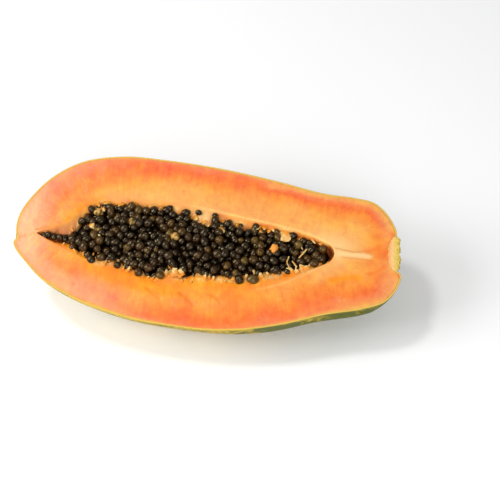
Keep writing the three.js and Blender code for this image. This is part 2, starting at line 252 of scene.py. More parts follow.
@dataclass(frozen=True)
class FruitForm:
    """The driving sizes of the half fruit, within 2 mm of those of its solids."""

    tilt: float = math.radians(18)
    flat_sink: float = 1.8
    roundness: float = 0.96
    ridges: int = 5
    ridge_share: float = 0.013
    end_crowding: float = 0.7
    bulge: float = 0.05
    bulge_middle: float = 24
    bulge_width: float = 15
    shoulder_drop: float = 1.6
    hollow_start: float = 15.5
    hollow_end: float = 219.8
    hollow_roundness: float = 0.86
    bed_mound: float = 2.2
    tail_point: tuple[float, float] = (15.5, 5.7)
    neck_point: tuple[float, float] = (219.8, -0.6)
    far_edge: Pairs = (
        (2.5, 2), (0.9, 7), (2.2, 19), (9, 32), (23, 48), (43, 60), (71, 65), (100, 63.5),
        (140, 58.5), (180, 50.5), (211, 43), (233, 40.5), (247, 37), (257, 27), (262, 15),
        (260, 11.5), (257.5, 7), (257, 0),
    )
    near_edge: Pairs = (
        (2.5, 2), (0.1, -1.5), (1.8, -6), (9, -14.5), (22, -27), (40, -37.5), (62, -46),
        (86, -52.4), (112, -56.2), (138, -58), (163, -56.4), (188, -51.6), (214, -44.2), (240, -39),
        (255, -33), (263, -22.5), (264.8, -14), (261, -10.5), (257.8, -6), (257, 0),
    )
    far_lip: Pairs = (
        (15.5, 6), (30, 13), (38, 18.5), (46, 27.5), (57, 32), (72, 33.5), (95, 32.5),
        (125, 29), (160, 22), (181, 18), (202, 12.5), (212, 8), (217, 5.4), (219, 2.8), (219.8, -0.4),
    )
    near_lip: Pairs = (
        (15.5, 5.4), (25, 0), (43, -9), (55, -15), (68, -21.5), (82, -26), (97, -29.5),
        (120, -32), (143, -32), (165, -29), (182, -24.5), (200, -16.5), (212, -9.8), (217, -7),
        (219, -4), (219.8, -0.8),
    )
    far_bed: Pairs = (
        (15.5, 5.9), (30, 6.5), (38, 9), (46, 21), (55, 29), (80, 31.5), (100, 29), (120, 24),
        (142, 20), (165, 17), (188, 14), (205, 9), (216, 4.4), (218.6, 1.6), (219.8, -0.5),
    )
    near_bed: Pairs = (
        (15.5, 5.5), (28, 0), (43, -5.5), (56, -12.5), (75, -15), (96, -21.5), (120, -22.5),
        (145, -23), (162, -21), (188, -15.5), (205, -10.5), (216, -5.8), (218.6, -3), (219.8, -0.7),
    )
    bed_level: Pairs = (
        (15.5, -2.4), (40, -1.8), (60, -0.9), (140, -1.2), (170, -2.6), (200, -4.6), (221, -5.4),
    )
    far_margin: Pairs = (
        (15.5, 0.2), (34, 1.5), (44, 4.5), (54, 1.5), (60, 0.5), (71, 3.8), (80, 2), (89, 4),
        (97, 2.5), (104, 0.5), (110, 3), (118, 1.5), (126, 6), (131, 6), (138, 1), (150, 2.5),
        (159, 4), (166, 0.5), (172, 0.3), (180, 2), (221, 0.2),
    )
    near_margin: Pairs = (
        (15.5, 0.2), (32, 1.5), (38, 3.6), (45, 0.8), (50, 0.8), (56, 3.2), (62, 2.6), (71, 3.8),
        (77, 1.5), (83, 0.2), (88, 3), (93, 0.2), (99, 0.6), (105, 5.5), (110, 7), (116, 2),
        (125, 3), (132, 5), (138, 3.4), (146, 4.6), (154, 2), (159, 4.6), (165, 2.4),
        (170, 4.6), (178, 3), (190, 2), (221, 0.2),
    )
    curves: dict[Any, Any] = field(default_factory=dict, compare=False)

    def __post_init__(self) -> None:
        """Prepares the curves that the outlines give."""
        for side in Side:
            self.curves[side, "edge"] = EdgeCurve(self.given(side, "edge"))
            for kind in ("lip", "bed", "margin"):
                self.curves[side, kind] = ValueCurve(self.given(side, kind))
        self.curves["level"] = ValueCurve(self.bed_level)

    def given(self, side: Side, kind: str) -> Pairs:
        """Returns the points that one side's curve passes through."""
        return getattr(self, f"{side.name.lower()}_{kind}")

    def edge(self, side: Side) -> EdgeCurve:
        """Returns the outer edge of the cut face on one side."""
        return self.curves[side, "edge"]

    def lip(self, side: Side, u: Any) -> Any:
        """Returns v where the cut face begins to round down into the hollow."""
        return self.curves[side, "lip"](u)

    def bed(self, side: Side, u: Any) -> Any:
        """Returns v where the steep wall under the seeds begins."""
        return self.curves[side, "bed"](u)

    def brink(self, side: Side, u: Any) -> Any:
        """Returns v of the ragged edge of the flesh, where the seeds begin."""
        return self.bed(side, u) - side.value * np.maximum(self.curves[side, "margin"](u), 0)

    def brinks(self, u: Any) -> tuple[Any, Any]:
        """Returns v of the ragged edge on the far side and on the near side."""
        return self.brink(Side.FAR, u), self.brink(Side.NEAR, u)

    def level(self, u: Any) -> Any:
        """Returns w of the seeds' middles at the sides of the bed."""
        return self.curves["level"](u)

    def shoulder(self, u: Any) -> Any:
        """Returns w where the steep wall begins."""
        return self.level(u) - self.shoulder_drop

    def seed_level(self, u: Any, across: Any) -> Any:
        """Returns w of the seeds' middles, with across from -1 at the near side to 1 at the far."""
        along = (u - self.hollow_start) / (self.hollow_end - self.hollow_start)
        return self.level(u) + self.bed_mound * np.sin(np.pi * along) * (1 - across**2)

    def across(self, u: Any, v: Any) -> Any:
        """Returns how far v lies across the bed, from -1 to 1."""
        far, near = self.bed(Side.FAR, u), self.bed(Side.NEAR, u)
        return np.clip((v - (far + near) / 2) / np.maximum((far - near) / 2, 0.1), -1, 1)

    def shares(self, count: int) -> Points:
        """Returns shares from 0 to 1 that crowd towards both ends."""
        even = np.arange(count + 1) / count
        return mix(even, (1 - np.cos(np.pi * even)) / 2, self.end_crowding)

    def skin(self, shares: Points, turns: Points) -> Points:
        """Works out the outside of the half.

        Args:
            shares: Shares of the way from the blossom end to the stem end.
            turns: Angles from the far edge, 0, under the fruit to the near edge, pi.

        Returns:
            An array of points, one row for each share.
        """
        far, near = self.edge(Side.FAR).at(shares), self.edge(Side.NEAR).at(shares)
        half = ((far[:, 1] - near[:, 1]) / 2)[:, None]
        under = np.sin(turns)[None, :] ** 2
        ridge = 1 + self.ridge_share * under * np.cos(self.ridges * turns)[None, :]
        across = ((1 - np.cos(turns)) / 2)[None, :]
        along = mix(far[:, :1], near[:, :1], across)
        u = mix(along, (far[:, :1] + near[:, :1]) / 2, under)
        below = np.degrees(math.pi - turns)[None, :]
        fuller = self.bulge * (ease(u, 120, 190) + 0.6 * ease(u, 190, 225)) * (1 - ease(u, 244, 260))
        ridge = ridge + fuller * hump(below - self.bulge_middle, self.bulge_width) * ease(below, 0, 14)
        v = ((far[:, 1] + near[:, 1]) / 2)[:, None] + half * np.cos(turns)[None, :] * ridge
        w = -half * self.roundness * np.sin(turns)[None, :] * ridge
        return np.stack([u, v, w], -1)


class Resting:
    """Turns the fruit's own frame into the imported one, where the half lies tipped."""

    def __init__(self, form: FruitForm) -> None:
        """Finds the place from the fruit's form and the box of its solid.

        Args:
            form: The fruit's driving sizes.
        """
        self.form = form
        self.tipping = np.array([
            [1, 0, 0],
            [0, math.cos(form.tilt), -math.sin(form.tilt)],
            [0, math.sin(form.tilt), math.cos(form.tilt)],
        ])
        stations, turns = BOX_SAMPLES
        body = form.skin(form.shares(stations), np.linspace(0, math.pi, turns))
        tipped = body.reshape(-1, 3) @ self.tipping.T
        low, high = (np.array(corner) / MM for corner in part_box("fruit_half"))
        middle = (low + high) / 2 - (tipped.min(0) + tipped.max(0)) / 2
        ground = low[2] - (tipped[:, 2].min() + form.flat_sink)
        self.shift = np.array([middle[0], middle[1], ground])
        self.ends = (CAD_BOX[0][0] / MM, CAD_BOX[1][0] / MM)

    def place(self, points: Points, floor: Any = 0.0) -> Points:
        """Moves points of the fruit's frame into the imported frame.

        Args:
            points: Places in the fruit's frame, in millimetres.
            floor: The least height above the ground, for all points or for each.

        Returns:
            The places in metres.
        """
        moved = points @ self.tipping.T + self.shift
        moved[:, 0] = np.clip(moved[:, 0], *self.ends)
        moved[:, 2] = np.maximum(moved[:, 2], floor)
        return moved * MM

    def loft(self, name: str, sections: Points, floor: Any = 0.0) -> bpy.types.Object:
        """Returns a closed object from rings of points in the fruit's frame."""
        placed = self.place(sections.reshape(-1, 3), floor)
        return closed_loft(name, placed.reshape(sections.shape))

    def back(self, made: bpy.types.Object) -> Points:
        """Returns an object's vertices in the fruit's own frame, in millimetres."""
        return (vertices(made) / MM - self.shift) @ self.tipping

    def direction(self, vectors: Points) -> Points:
        """Returns directions of the fruit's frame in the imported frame."""
        return vectors @ self.tipping.T


def inward_normals(grid: Points) -> Points:
    """Works out which way is inwards at each point of a grid of the skin.

    Args:
        grid: Rows of points from one end of the fruit to the other.

    Returns:
        Unit vectors. Those of the first and last column lie in the cut face.
    """
    along = np.gradient(grid, axis=0)
    around = np.gradient(grid, axis=1)
    normals = np.cross(around, along)
    normals[0], normals[-1] = (1.0, 0.0, 0.0), (-1.0, 0.0, 0.0)
    turned = np.sum(normals * ((MIDDLE_U, 0.0, 0.0) - grid), axis=-1, keepdims=True) < 0
    outliers = turned & (np.abs(grid[..., :1] - MIDDLE_U) < CLEAR_OF_ENDS)
    normals = np.where(outliers, -normals, normals)
    for column in (0, -1):
        normals[:, column, 2] = 0
    return normals / np.maximum(np.linalg.norm(normals, axis=-1, keepdims=True), 1e-9)


def rough(points: Points, size: float, offset: float = 0.0) -> Points:
    """Smooth noise from -1 to 1 at points, with lumps of the given size in millimetres."""
    scaled = points / size + offset
    return np.array([noise.noise(Vector(p)) for p in scaled])


def rough_ways(points: Points, size: float, apart: float) -> Points:
    """Smooth noise along three axes, read from places that lie apart in the noise."""
    return np.stack([rough(points, size, apart * i) for i in (1, 2, 3)], -1)


def linked(name: str, data: Any) -> bpy.types.Object:
    """Makes an object at the origin from its mesh, light or camera, and links it to the scene."""
    made = bpy.data.objects.new(name, data)
    bpy.context.scene.collection.objects.link(made)
    return made


def mesh_object(name: str, points: Points, faces: Sequence[Sequence[int]]) -> bpy.types.Object:
    """Makes a smooth-shaded mesh object at the origin and links it to the scene.

    Args:
        name: The object's name.
        points: Vertices in metres.
        faces: Corner numbers of each face.

    Returns:
        The new object.
    """
    mesh = bpy.data.meshes.new(name)
    mesh.from_pydata([tuple(map(float, p)) for p in points], [], [tuple(map(int, f)) for f in faces])
    mesh.shade_smooth()
    return linked(name, mesh)


def closed_loft(name: str, sections: Points) -> bpy.types.Object:
    """Skins closed sections that shrink to a point or a line at both ends.

    Args:
        name: The object's name.
        sections: An array of sections, each a ring of points in metres.

    Returns:
        A closed object whose faces point outwards.
    """
    rows, ring = sections.shape[:2]
    numbers = np.arange(rows * ring).reshape(rows, ring)
    ahead = np.roll(numbers, -1, axis=1)
    faces = np.stack([numbers[:-1], numbers[1:], ahead[1:], ahead[:-1]], -1).reshape(-1, 4)
    made = mesh_object(name, sections.reshape(-1, 3), faces.tolist())
    tidy_shell(made, 2e-6)
    return made


def tidy_shell(target: bpy.types.Object, weld: float) -> None:
    """Welds the doubled points of a closed mesh and turns its faces outwards.

    Args:
        target: The mesh object.
        weld: Points nearer than this, in metres, become one.
    """
    shell = bmesh.new()
    shell.from_mesh(target.data)
    bmesh.ops.remove_doubles(shell, verts=shell.verts, dist=weld)
    bmesh.ops.dissolve_degenerate(shell, edges=shell.edges, dist=weld / 2)
    bmesh.ops.recalc_face_normals(shell, faces=shell.faces)
    loose = [v for v in shell.verts if not v.link_faces]
    bmesh.ops.delete(shell, geom=loose, context="VERTS")
    shell.to_mesh(target.data)
    open_edges = sum(not e.is_manifold for e in shell.edges)
    shell.free()
    target.data.shade_smooth()
    if open_edges:
        LOG.warning("%s has %d open edges", target.name, open_edges)


def vertices(target: bpy.types.Object) -> Points:
    """Returns the vertices of a mesh object as an array."""
    found = np.zeros(len(target.data.vertices) * 3)
    target.data.vertices.foreach_get("co", found)
    return found.reshape(-1, 3)


def paint(target: bpy.types.Object, name: str, values: Points) -> None:
    """Stores one number, or one vector, for each vertex of a mesh object.

    Args:
        target: The mesh object.
        name: The attribute's name, which its material reads.
        values: The numbers, or rows of three.
    """
    flat = np.asarray(values, np.float32)
    kind, key = ("FLOAT", "value") if flat.ndim == 1 else ("FLOAT_VECTOR", "vector")
    layer = target.data.attributes.new(name, kind, "POINT")
    layer.data.foreach_set(key, flat.ravel())


class Wiring:
    """A node tree in the making: each method adds one node and returns its output."""

    def __init__(self, tree: bpy.types.NodeTree) -> None:
        """Args:
            tree: The tree that the nodes go into.
        """
        self.tree = tree

    def node(self, kind: str, inputs: dict[Any, Any], **settings: Any) -> bpy.types.Node:
        """Adds a node.

        Args:
            kind: The node's type.
            inputs: Values or sockets for its inputs, by name or number.
            **settings: Its other properties.

        Returns:
            The node.
        """
        made = self.tree.nodes.new(kind)
        for key, value in settings.items():
            setattr(made, key, value)
        for key, value in inputs.items():
            if isinstance(value, bpy.types.NodeSocket):
                self.tree.links.new(value, made.inputs[key])
            else:
                made.inputs[key].default_value = value
        return made

    def take(self, output: int | str, kind: str, inputs: dict[Any, Any], **settings: Any) -> Any:
        """Adds a node and returns one of its outputs, by name or number."""
        return self.node(kind, inputs, **settings).outputs[output]

    def math(self, operation: str, a: Any, b: Any) -> Any:
        """Returns the result of two numbers."""
        return self.take(0, "ShaderNodeMath", {0: a, 1: b}, operation=operation)

    def times(self, a: Any, b: Any) -> Any:
        """Returns a times b."""
        return self.math("MULTIPLY", a, b)

    def plus(self, a: Any, b: Any) -> Any:
        """Returns a plus b."""
        return self.math("ADD", a, b)


class Board(Wiring):
    """Wires a material."""

    def __init__(self, name: str) -> None:
        """Args:
            name: The material's name.
        """
        self.material = bpy.data.materials.new(name)
        self.material.use_nodes = True
        super().__init__(self.material.node_tree)
        self.tree.nodes.clear()
        self.output = self.tree.nodes.new("ShaderNodeOutputMaterial")

    def attribute(self, name: str, kind: str = "Fac") -> Any:
        """Returns a number, or with kind "Vector" a vector, that the mesh stores."""
        return self.take(kind, "ShaderNodeAttribute", {}, attribute_name=name)

    def place(self) -> Any:
        """Returns the Object coordinates, in metres."""
        return self.take("Object", "ShaderNodeTexCoord", {})

    def stretch(self, vector: Any, scale: Place) -> Any:
        """Returns a vector scaled along its axes."""
        return self.take("Vector", "ShaderNodeMapping", {"Vector": vector, "Scale": scale})

    def noise(
        self, vector: Any, scale: float, detail: float = 3, rough: float = 0.5, bend: float = 0
    ) -> Any:
        """Returns smooth noise from 0 to 1."""
        return self.take("Fac", "ShaderNodeTexNoise", {
            "Vector": vector, "Scale": scale, "Detail": detail, "Roughness": rough, "Distortion": bend,
        })

    def streaks(self, vector: Any, scale: Place, *shape: float) -> Any:
        """Returns noise drawn out along an axis, with a scale for each axis."""
        return self.noise(self.stretch(vector, scale), 1.0, *shape)

    def cells(self, vector: Any, scale: float) -> tuple[Any, Any]:
        """Returns the distance to the nearest cell point, and that cell's own colour."""
        made = self.node("ShaderNodeTexVoronoi", {"Vector": vector, "Scale": scale})
        return made.outputs["Distance"], made.outputs["Color"]

    def channel(self, shown: Any, number: int) -> Any:
        """Returns the red, green or blue of a colour, by number."""
        return self.take(number, "ShaderNodeSeparateColor", {"Color": shown})

    def band(self, value: Any, low: float, high: float, start: float = 0.0, end: float = 1.0) -> Any:
        """Returns value moved smoothly from start at low to end at high."""
        return self.take("Result", "ShaderNodeMapRange", {
            "Value": value, "From Min": low, "From Max": high, "To Min": start, "To Max": end,
        }, interpolation_type="SMOOTHSTEP")

    def ramp(self, value: Any, stops: Stops) -> Any:
        """Returns a colour from a ramp.

        Args:
            value: Where to read the ramp, from 0 to 1.
            stops: Places and display colours.

        Returns:
            The colour socket.
        """
        made = self.node("ShaderNodeValToRGB", {"Fac": value})
        ramp = made.color_ramp
        while len(ramp.elements) < len(stops):
            ramp.elements.new(0.5)
        for element, (place, code) in zip(ramp.elements, stops):
            element.position = place
            element.color = colour(code)
        return made.outputs["Color"]

    def blend(self, share: Any, a: Any, b: Any) -> Any:
        """Returns a blended towards b by a share; a display code may stand for either colour."""
        under, over = (colour(c) if isinstance(c, str) else c for c in (a, b))
        return self.take(2, "ShaderNodeMix", {0: share, 6: under, 7: over}, data_type="RGBA")

    def zones(self, base: Any, codes: dict[str, str]) -> Any:
        """Returns a colour covered by others where the mesh says that their zones lie."""
        for name, code in codes.items():
            base = self.blend(self.attribute(name), base, code)
        return base

    def tint(self, base: Any, value: Any, hue: float, dark: float, light: float) -> Any:
        """Shifts a colour by a number from 0 to 1.

        Args:
            base: The colour.
            value: The number that drives the shift.
            hue: Most shift of hue.
            dark: Brightness at 0.
            light: Brightness at 1.

        Returns:
            The colour socket.
        """
        turned = self.band(value, 0, 1, 0.5 - hue, 0.5 + hue)
        bright = self.band(value, 0, 1, dark, light)
        inputs = {"Hue": turned, "Value": bright, "Color": base}
        return self.take("Color", "ShaderNodeHueSaturation", inputs)

    def bump(self, height: Any, strength: Any, distance: float) -> Any:
        """Returns a normal bent by a height, with the distance in metres."""
        return self.take("Normal", "ShaderNodeBump", {
            "Height": height, "Strength": strength, "Distance": distance,
        })

    def finish(self, inputs: dict[str, Any]) -> bpy.types.Material:
        """Adds the surface shader and returns the finished material."""
        surface = self.take("BSDF", "ShaderNodeBsdfPrincipled", inputs)
        self.tree.links.new(surface, self.output.inputs["Surface"])
        return self.material


@dataclass(frozen=True)
class FleshFinish:
    """Moist cut flesh: salmon under the skin, coral, then orange and apricot to the hollow."""

    depth_mm: float = 44.0
    layers: Stops = (
        (0.0, "e4b455"), (0.022, "e8a050"), (0.05, "e77f47"), (0.12, "e87232"),
        (0.2, "e8762d"), (0.3, "e98933"), (0.42, "e99944"), (0.62, "e9a04f"), (1.0, "e89e4a"),
    )
    # painted shade: the darker colour on the far wall of the hollow's narrow tail
    groove: str = "c47c46"
    fringe: str = "eabb74"
    # brown painted shade low on the hollow's slope and at its stem end
    painted_wall_shade: str = "b8642c"
    speck: str = "dd701f"
    under: dict[str, str] = field(default_factory=lambda: {
        # the ridge zone is a painted highlight along the hollow's lip
        "tip": "e9b888", "lip": "e8a95e", "glow": "ee8a00", "wall": "e38632", "ridge": "efc070",
    })
    over: dict[str, str] = field(default_factory=lambda: {
        # the crease colour is painted shade: darker where the creases fall in shade
        "blush": "e65c12", "pith": "edc486", "crease": "c87f38",
    })

    def material(self) -> bpy.types.Material:
        """Returns the flesh material."""
        board = Board("papaya_flesh")
        place, grain = board.place(), board.attribute("grain", "Vector")
        streak = board.streaks(grain, (420, 34, 34), 5, 0.68, 0.5)
        mottle = board.noise(place, 210, 4, 0.6)
        depth = self.depth(board, board.noise(place, 32, 4, 0.55), streak)
        base = board.zones(board.ramp(board.times(depth, 1 / self.depth_mm), self.layers), self.under)
        # painted shade on the far wall of the hollow's tail, where the shade mask lies
        base = board.blend(board.times(board.attribute("shade"), 0.7), base, self.groove)
        base = self.torn(board, base, mottle)
        # painted shade where the seeds meet the slope and on the hollow's stem-end wall
        base = board.blend(board.attribute("painted_wall_shade"), base, self.painted_wall_shade)
        base = board.tint(base, streak, 0.006, 0.95, 1.05)
        base = board.tint(base, mottle, 0.012, 0.93, 1.07)
        base = board.tint(base, board.noise(place, 45, 3), 0.016, 0.955, 1.045)
        base = self.specks(board, base, mottle)
        # among these, the crease zone darkens the creases as painted shade
        base = board.zones(base, self.over)
        height = board.plus(board.times(streak, 0.5), board.noise(place, 900, 4, 0.6))
        return board.finish({
            "Base Color": base,
            "Roughness": board.band(mottle, 0.25, 0.75, 0.36, 0.52),
            "IOR": 1.36,
            "Subsurface Weight": 0.25,
            "Subsurface Radius": (1.0, 0.42, 0.16),
            "Subsurface Scale": 0.003,
            "Coat Weight": 0.08,
            "Coat Roughness": 0.22,
            "Normal": board.bump(height, 0.3, 0.0004),
        })

    def depth(self, board: Board, drift: Any, streak: Any) -> Any:
        """Returns the depth under the skin in millimetres, made to wander and fray."""
        depth = rim = board.attribute("rim_mm")
        for wave, low, high, reach, clear in ((drift, 0.25, 0.75, 5.0, 0.8), (streak, 0.3, 0.7, 0.8, 2)):
            sway = board.times(board.band(wave, low, high, -reach, reach), board.band(rim, clear, 6))
            depth = board.plus(depth, sway)
        return depth

    def torn(self, board: Board, base: Any, mottle: Any) -> Any:
        """Returns the colour with pale torn lining over it."""
        flames = board.streaks(board.place(), (340, 70, 70), 3, 0.6, 0.4)
        torn = board.plus(board.attribute("torn"), board.band(flames, 0.25, 0.75, -0.5, 0.5))
        shreds = board.times(board.band(torn, 0.5, 0.72, 0, 0.85), board.band(mottle, 0.3, 0.5, 0.6, 1))
        cream = board.times(board.attribute("fringe"), board.band(flames, 0.34, 0.5, 0.25, 1))
        return board.blend(cream, board.blend(shreds, base, self.fringe), self.fringe)

    def specks(self, board: Board, base: Any, mottle: Any) -> Any:
        """Returns the colour with short redder dashes and a few specks, drawn out along the grain."""
        grain = board.attribute("grain", "Vector")
        fibre = board.streaks(grain, (1300, 190, 190), 3, 0.6, 0.8)
        dash = board.times(board.band(fibre, 0.6, 0.72), board.band(mottle, 0.45, 0.62))
        base = board.blend(board.times(dash, 0.5), base, self.speck)
        bent = board.take(0, "ShaderNodeVectorMath", {
            0: board.place(), 1: board.stretch(grain, (0.3, 0.0, 0.0)),
        }, operation="ADD")
        spots, chance = board.cells(board.stretch(bent, (1.0, 0.6, 0.6)), 330)
        speck = board.times(board.band(spots, 0.4, 0.1), board.band(board.channel(chance, 0), 0.62, 0.9))
        return board.blend(board.times(speck, 0.3), base, self.speck)


@dataclass(frozen=True)
class SkinFinish:
    """Waxy olive skin turning yellow in blotches, with small darker dots."""

    green: str = "525a04"
    yellow: str = "c8a52c"
    deep_green: str = "46560a"
    dot: str = "36420a"
    cut: str = "e2ba58"

    def material(self) -> bpy.types.Material:
        """Returns the skin material."""
        board = Board("papaya_skin")
        place = board.place()
        blotch = board.streaks(place, (22, 34, 34), 6, 0.66, 0.5)
        patch = board.noise(place, 230, 5, 0.65, 0.4)
        ripe = board.plus(board.band(blotch, 0.36, 0.68), board.band(patch, 0.3, 0.7, -0.45, 0.45))
        ripe = board.plus(ripe, board.attribute("ripe"))
        base = board.blend(board.band(ripe, 0.0, 1.0), self.green, self.yellow)
        shade = board.band(board.noise(place, 48, 4, 0.6), 0.5, 0.72, 0, 0.75)
        base = board.blend(shade, base, self.deep_green)
        spots, chance = board.cells(place, 330)
        some = board.band(board.channel(chance, 1), 0.4, 0.55)
        crowd = board.band(board.noise(place, 36, 2), 0.4, 0.6, 0.25, 1)
        dots = board.times(board.band(spots, 0.42, 0.16), board.times(some, crowd))
        base = board.blend(board.times(dots, 0.8), base, self.dot)
        base = board.tint(base, board.noise(place, 800, 3), 0.006, 0.88, 1.12)
        base = board.blend(board.attribute("cut"), base, self.cut)
        height = board.plus(board.noise(place, 420, 4, 0.6), board.times(dots, -0.5))
        return board.finish({
            "Base Color": base,
            "Roughness": board.band(patch, 0.2, 0.8, 0.38, 0.52),
            "IOR": 1.24,
            "Specular Tint": (1.0, 0.9, 0.5, 1.0),
            "Subsurface Weight": 0.05,
            "Subsurface Radius": (0.5, 0.6, 0.1),
            "Subsurface Scale": 0.002,
            "Coat Weight": 0.03,
            "Coat Roughness": 0.2,
            "Normal": board.bump(height, 0.25, 0.0003),
        })


@dataclass(frozen=True)
class SeedFinish:
    """Wet seeds, from black to olive brown, with a few that never ripened and stay pale."""

    tones: Stops = (
        (0.0, "0a0402"), (0.25, "1c0e04"), (0.5, "341f08"), (0.72, "483110"),
        (0.88, "58431a"), (0.96, "96743a"), (1.0, "c0934f"),
    )

    def material(self) -> bpy.types.Material:
        """Returns the seed material."""
        board = Board("papaya_seed")
        place = board.place()
        cloud = board.noise(place, 420, 3)
        tone = board.plus(board.attribute("tone"), board.band(cloud, 0.3, 0.7, -0.1, 0.12))
        wrinkle, _ = board.cells(place, 1300)
        pits = board.noise(place, 1300, 3, 0.6)
        base = board.tint(board.ramp(tone, self.tones), pits, 0.012, 0.65, 1.4)
        return board.finish({
            "Base Color": base,
            "Roughness": board.band(pits, 0.3, 0.7, 0.14, 0.3),
            "IOR": 1.5,
            "Specular Tint": (1.0, 0.72, 0.3, 1.0),
            "Coat Weight": 0.38,
            "Coat Roughness": 0.04,
            "Coat IOR": 1.45,
            "Normal": board.bump(board.plus(wrinkle, pits), 0.2, 0.0005),
        })


@dataclass(frozen=True)
class HeapShadeFinish:
    """The near-black heap under the seeds: dark as the seeds are, and darker still as painted shade for
    the depth between them.
    """

    tones: Stops = ((0.0, "150f0a"), (0.6, "080504"), (1.0, "030202"))

    def material(self) -> bpy.types.Material:
        """Returns the material of the heap under the seeds."""
        board = Board("papaya_heap_painted_shade")
        place = board.place()
        lumps, _ = board.cells(place, 230)
        # near-black ramp, partly painted shade for the depth between the seeds
        base = board.ramp(lumps, self.tones)
        return board.finish({
            "Base Color": base,
            "Roughness": 0.6,
            "IOR": 1.2,
            "Normal": board.bump(lumps, 0.8, 0.001),
        })


@dataclass(frozen=True)
class LiningFinish:
    """Soft tissue torn from the seeds, orange where it is rooted and cream at its tips."""

    pale: str = "ebc27a"
    orange: str = "e69028"

    def material(self) -> bpy.types.Material:
        """Returns the material of the torn lining."""
        board = Board("papaya_lining")
        place = board.place()
        clouds = board.noise(place, 380, 3, 0.6)
        root = board.band(board.attribute("along"), 0.1, 0.9, 1.0, 0.0)
        share = board.plus(board.attribute("tone"), board.band(clouds, 0.3, 0.7, -0.3, 0.3))
        base = board.blend(board.band(board.plus(share, root), 0.15, 1.0), self.pale, self.orange)
        fibres = board.streaks(place, (500, 1800, 900), 3)
        base = board.tint(base, fibres, 0.006, 0.9, 1.08)
        return board.finish({
            "Base Color": base,
            "Roughness": 0.42,
            "IOR": 1.36,
            "Subsurface Weight": 0.3,
            "Subsurface Radius": (1.0, 0.6, 0.3),
            "Subsurface Scale": 0.003,
            "Coat Weight": 0.15,
            "Coat Roughness": 0.15,
            "Normal": board.bump(fibres, 0.4, 0.0003),
        })


@dataclass(frozen=True)
class ScarFinish:
    """Dry corky stalk tissue, pale yellow-green with brown cracks."""

    root: str = "e8843c"
    brown: str = "6a5420"
    outwards: tuple[tuple[str, float, float, float], ...] = (
        ("e8b072", 0.04, 0.24, 1.0), ("e8c178", 0.25, 0.5, 1.0),
        ("e0bc54", 0.5, 0.78, 1.0), ("8c8230", 0.84, 1.15, 0.9),
    )

    def material(self) -> bpy.types.Material:
        """Returns the material of the stalk scar."""
        board = Board("papaya_stalk_scar")
        place = board.place()
        grainy = board.streaks(place, (1400, 500, 500), 4, 0.65)
        outward = board.plus(board.attribute("outward"), board.band(grainy, 0.3, 0.7, -0.2, 0.2))
        base = self.root
        for code, start, end, most in self.outwards:
            base = board.blend(board.band(outward, start, end, 0.0, most), base, code)
        dry = board.times(board.band(board.noise(place, 600, 4, 0.7), 0.56, 0.72), outward)
        base = board.blend(board.times(dry, 0.5), base, self.brown)
        base = board.blend(board.attribute("crack"), base, self.brown)
        return board.finish({
            "Base Color": base,
            "Roughness": board.band(grainy, 0.3, 0.7, 0.62, 0.85),
            "IOR": 1.4,
            "Normal": board.bump(grainy, board.band(outward, 0.3, 0.7, 0.1, 0.7), 0.0006),
        })


@dataclass(frozen=True)
class FloorFinish:
    """A plain, pale, softly matt table."""

    white: str = "fbfcfe"
    grey: str = "f2f3f5"

    def material(self) -> bpy.types.Material:
        """Returns the floor material."""
        board = Board("studio_floor")
        cloud = board.noise(board.place(), 3, 2)
        base = board.blend(board.band(cloud, 0, 1, 0, 0.03), self.white, self.grey)
        return board.finish({"Base Color": base, "Roughness": 0.6, "Specular IOR Level": 0.3})


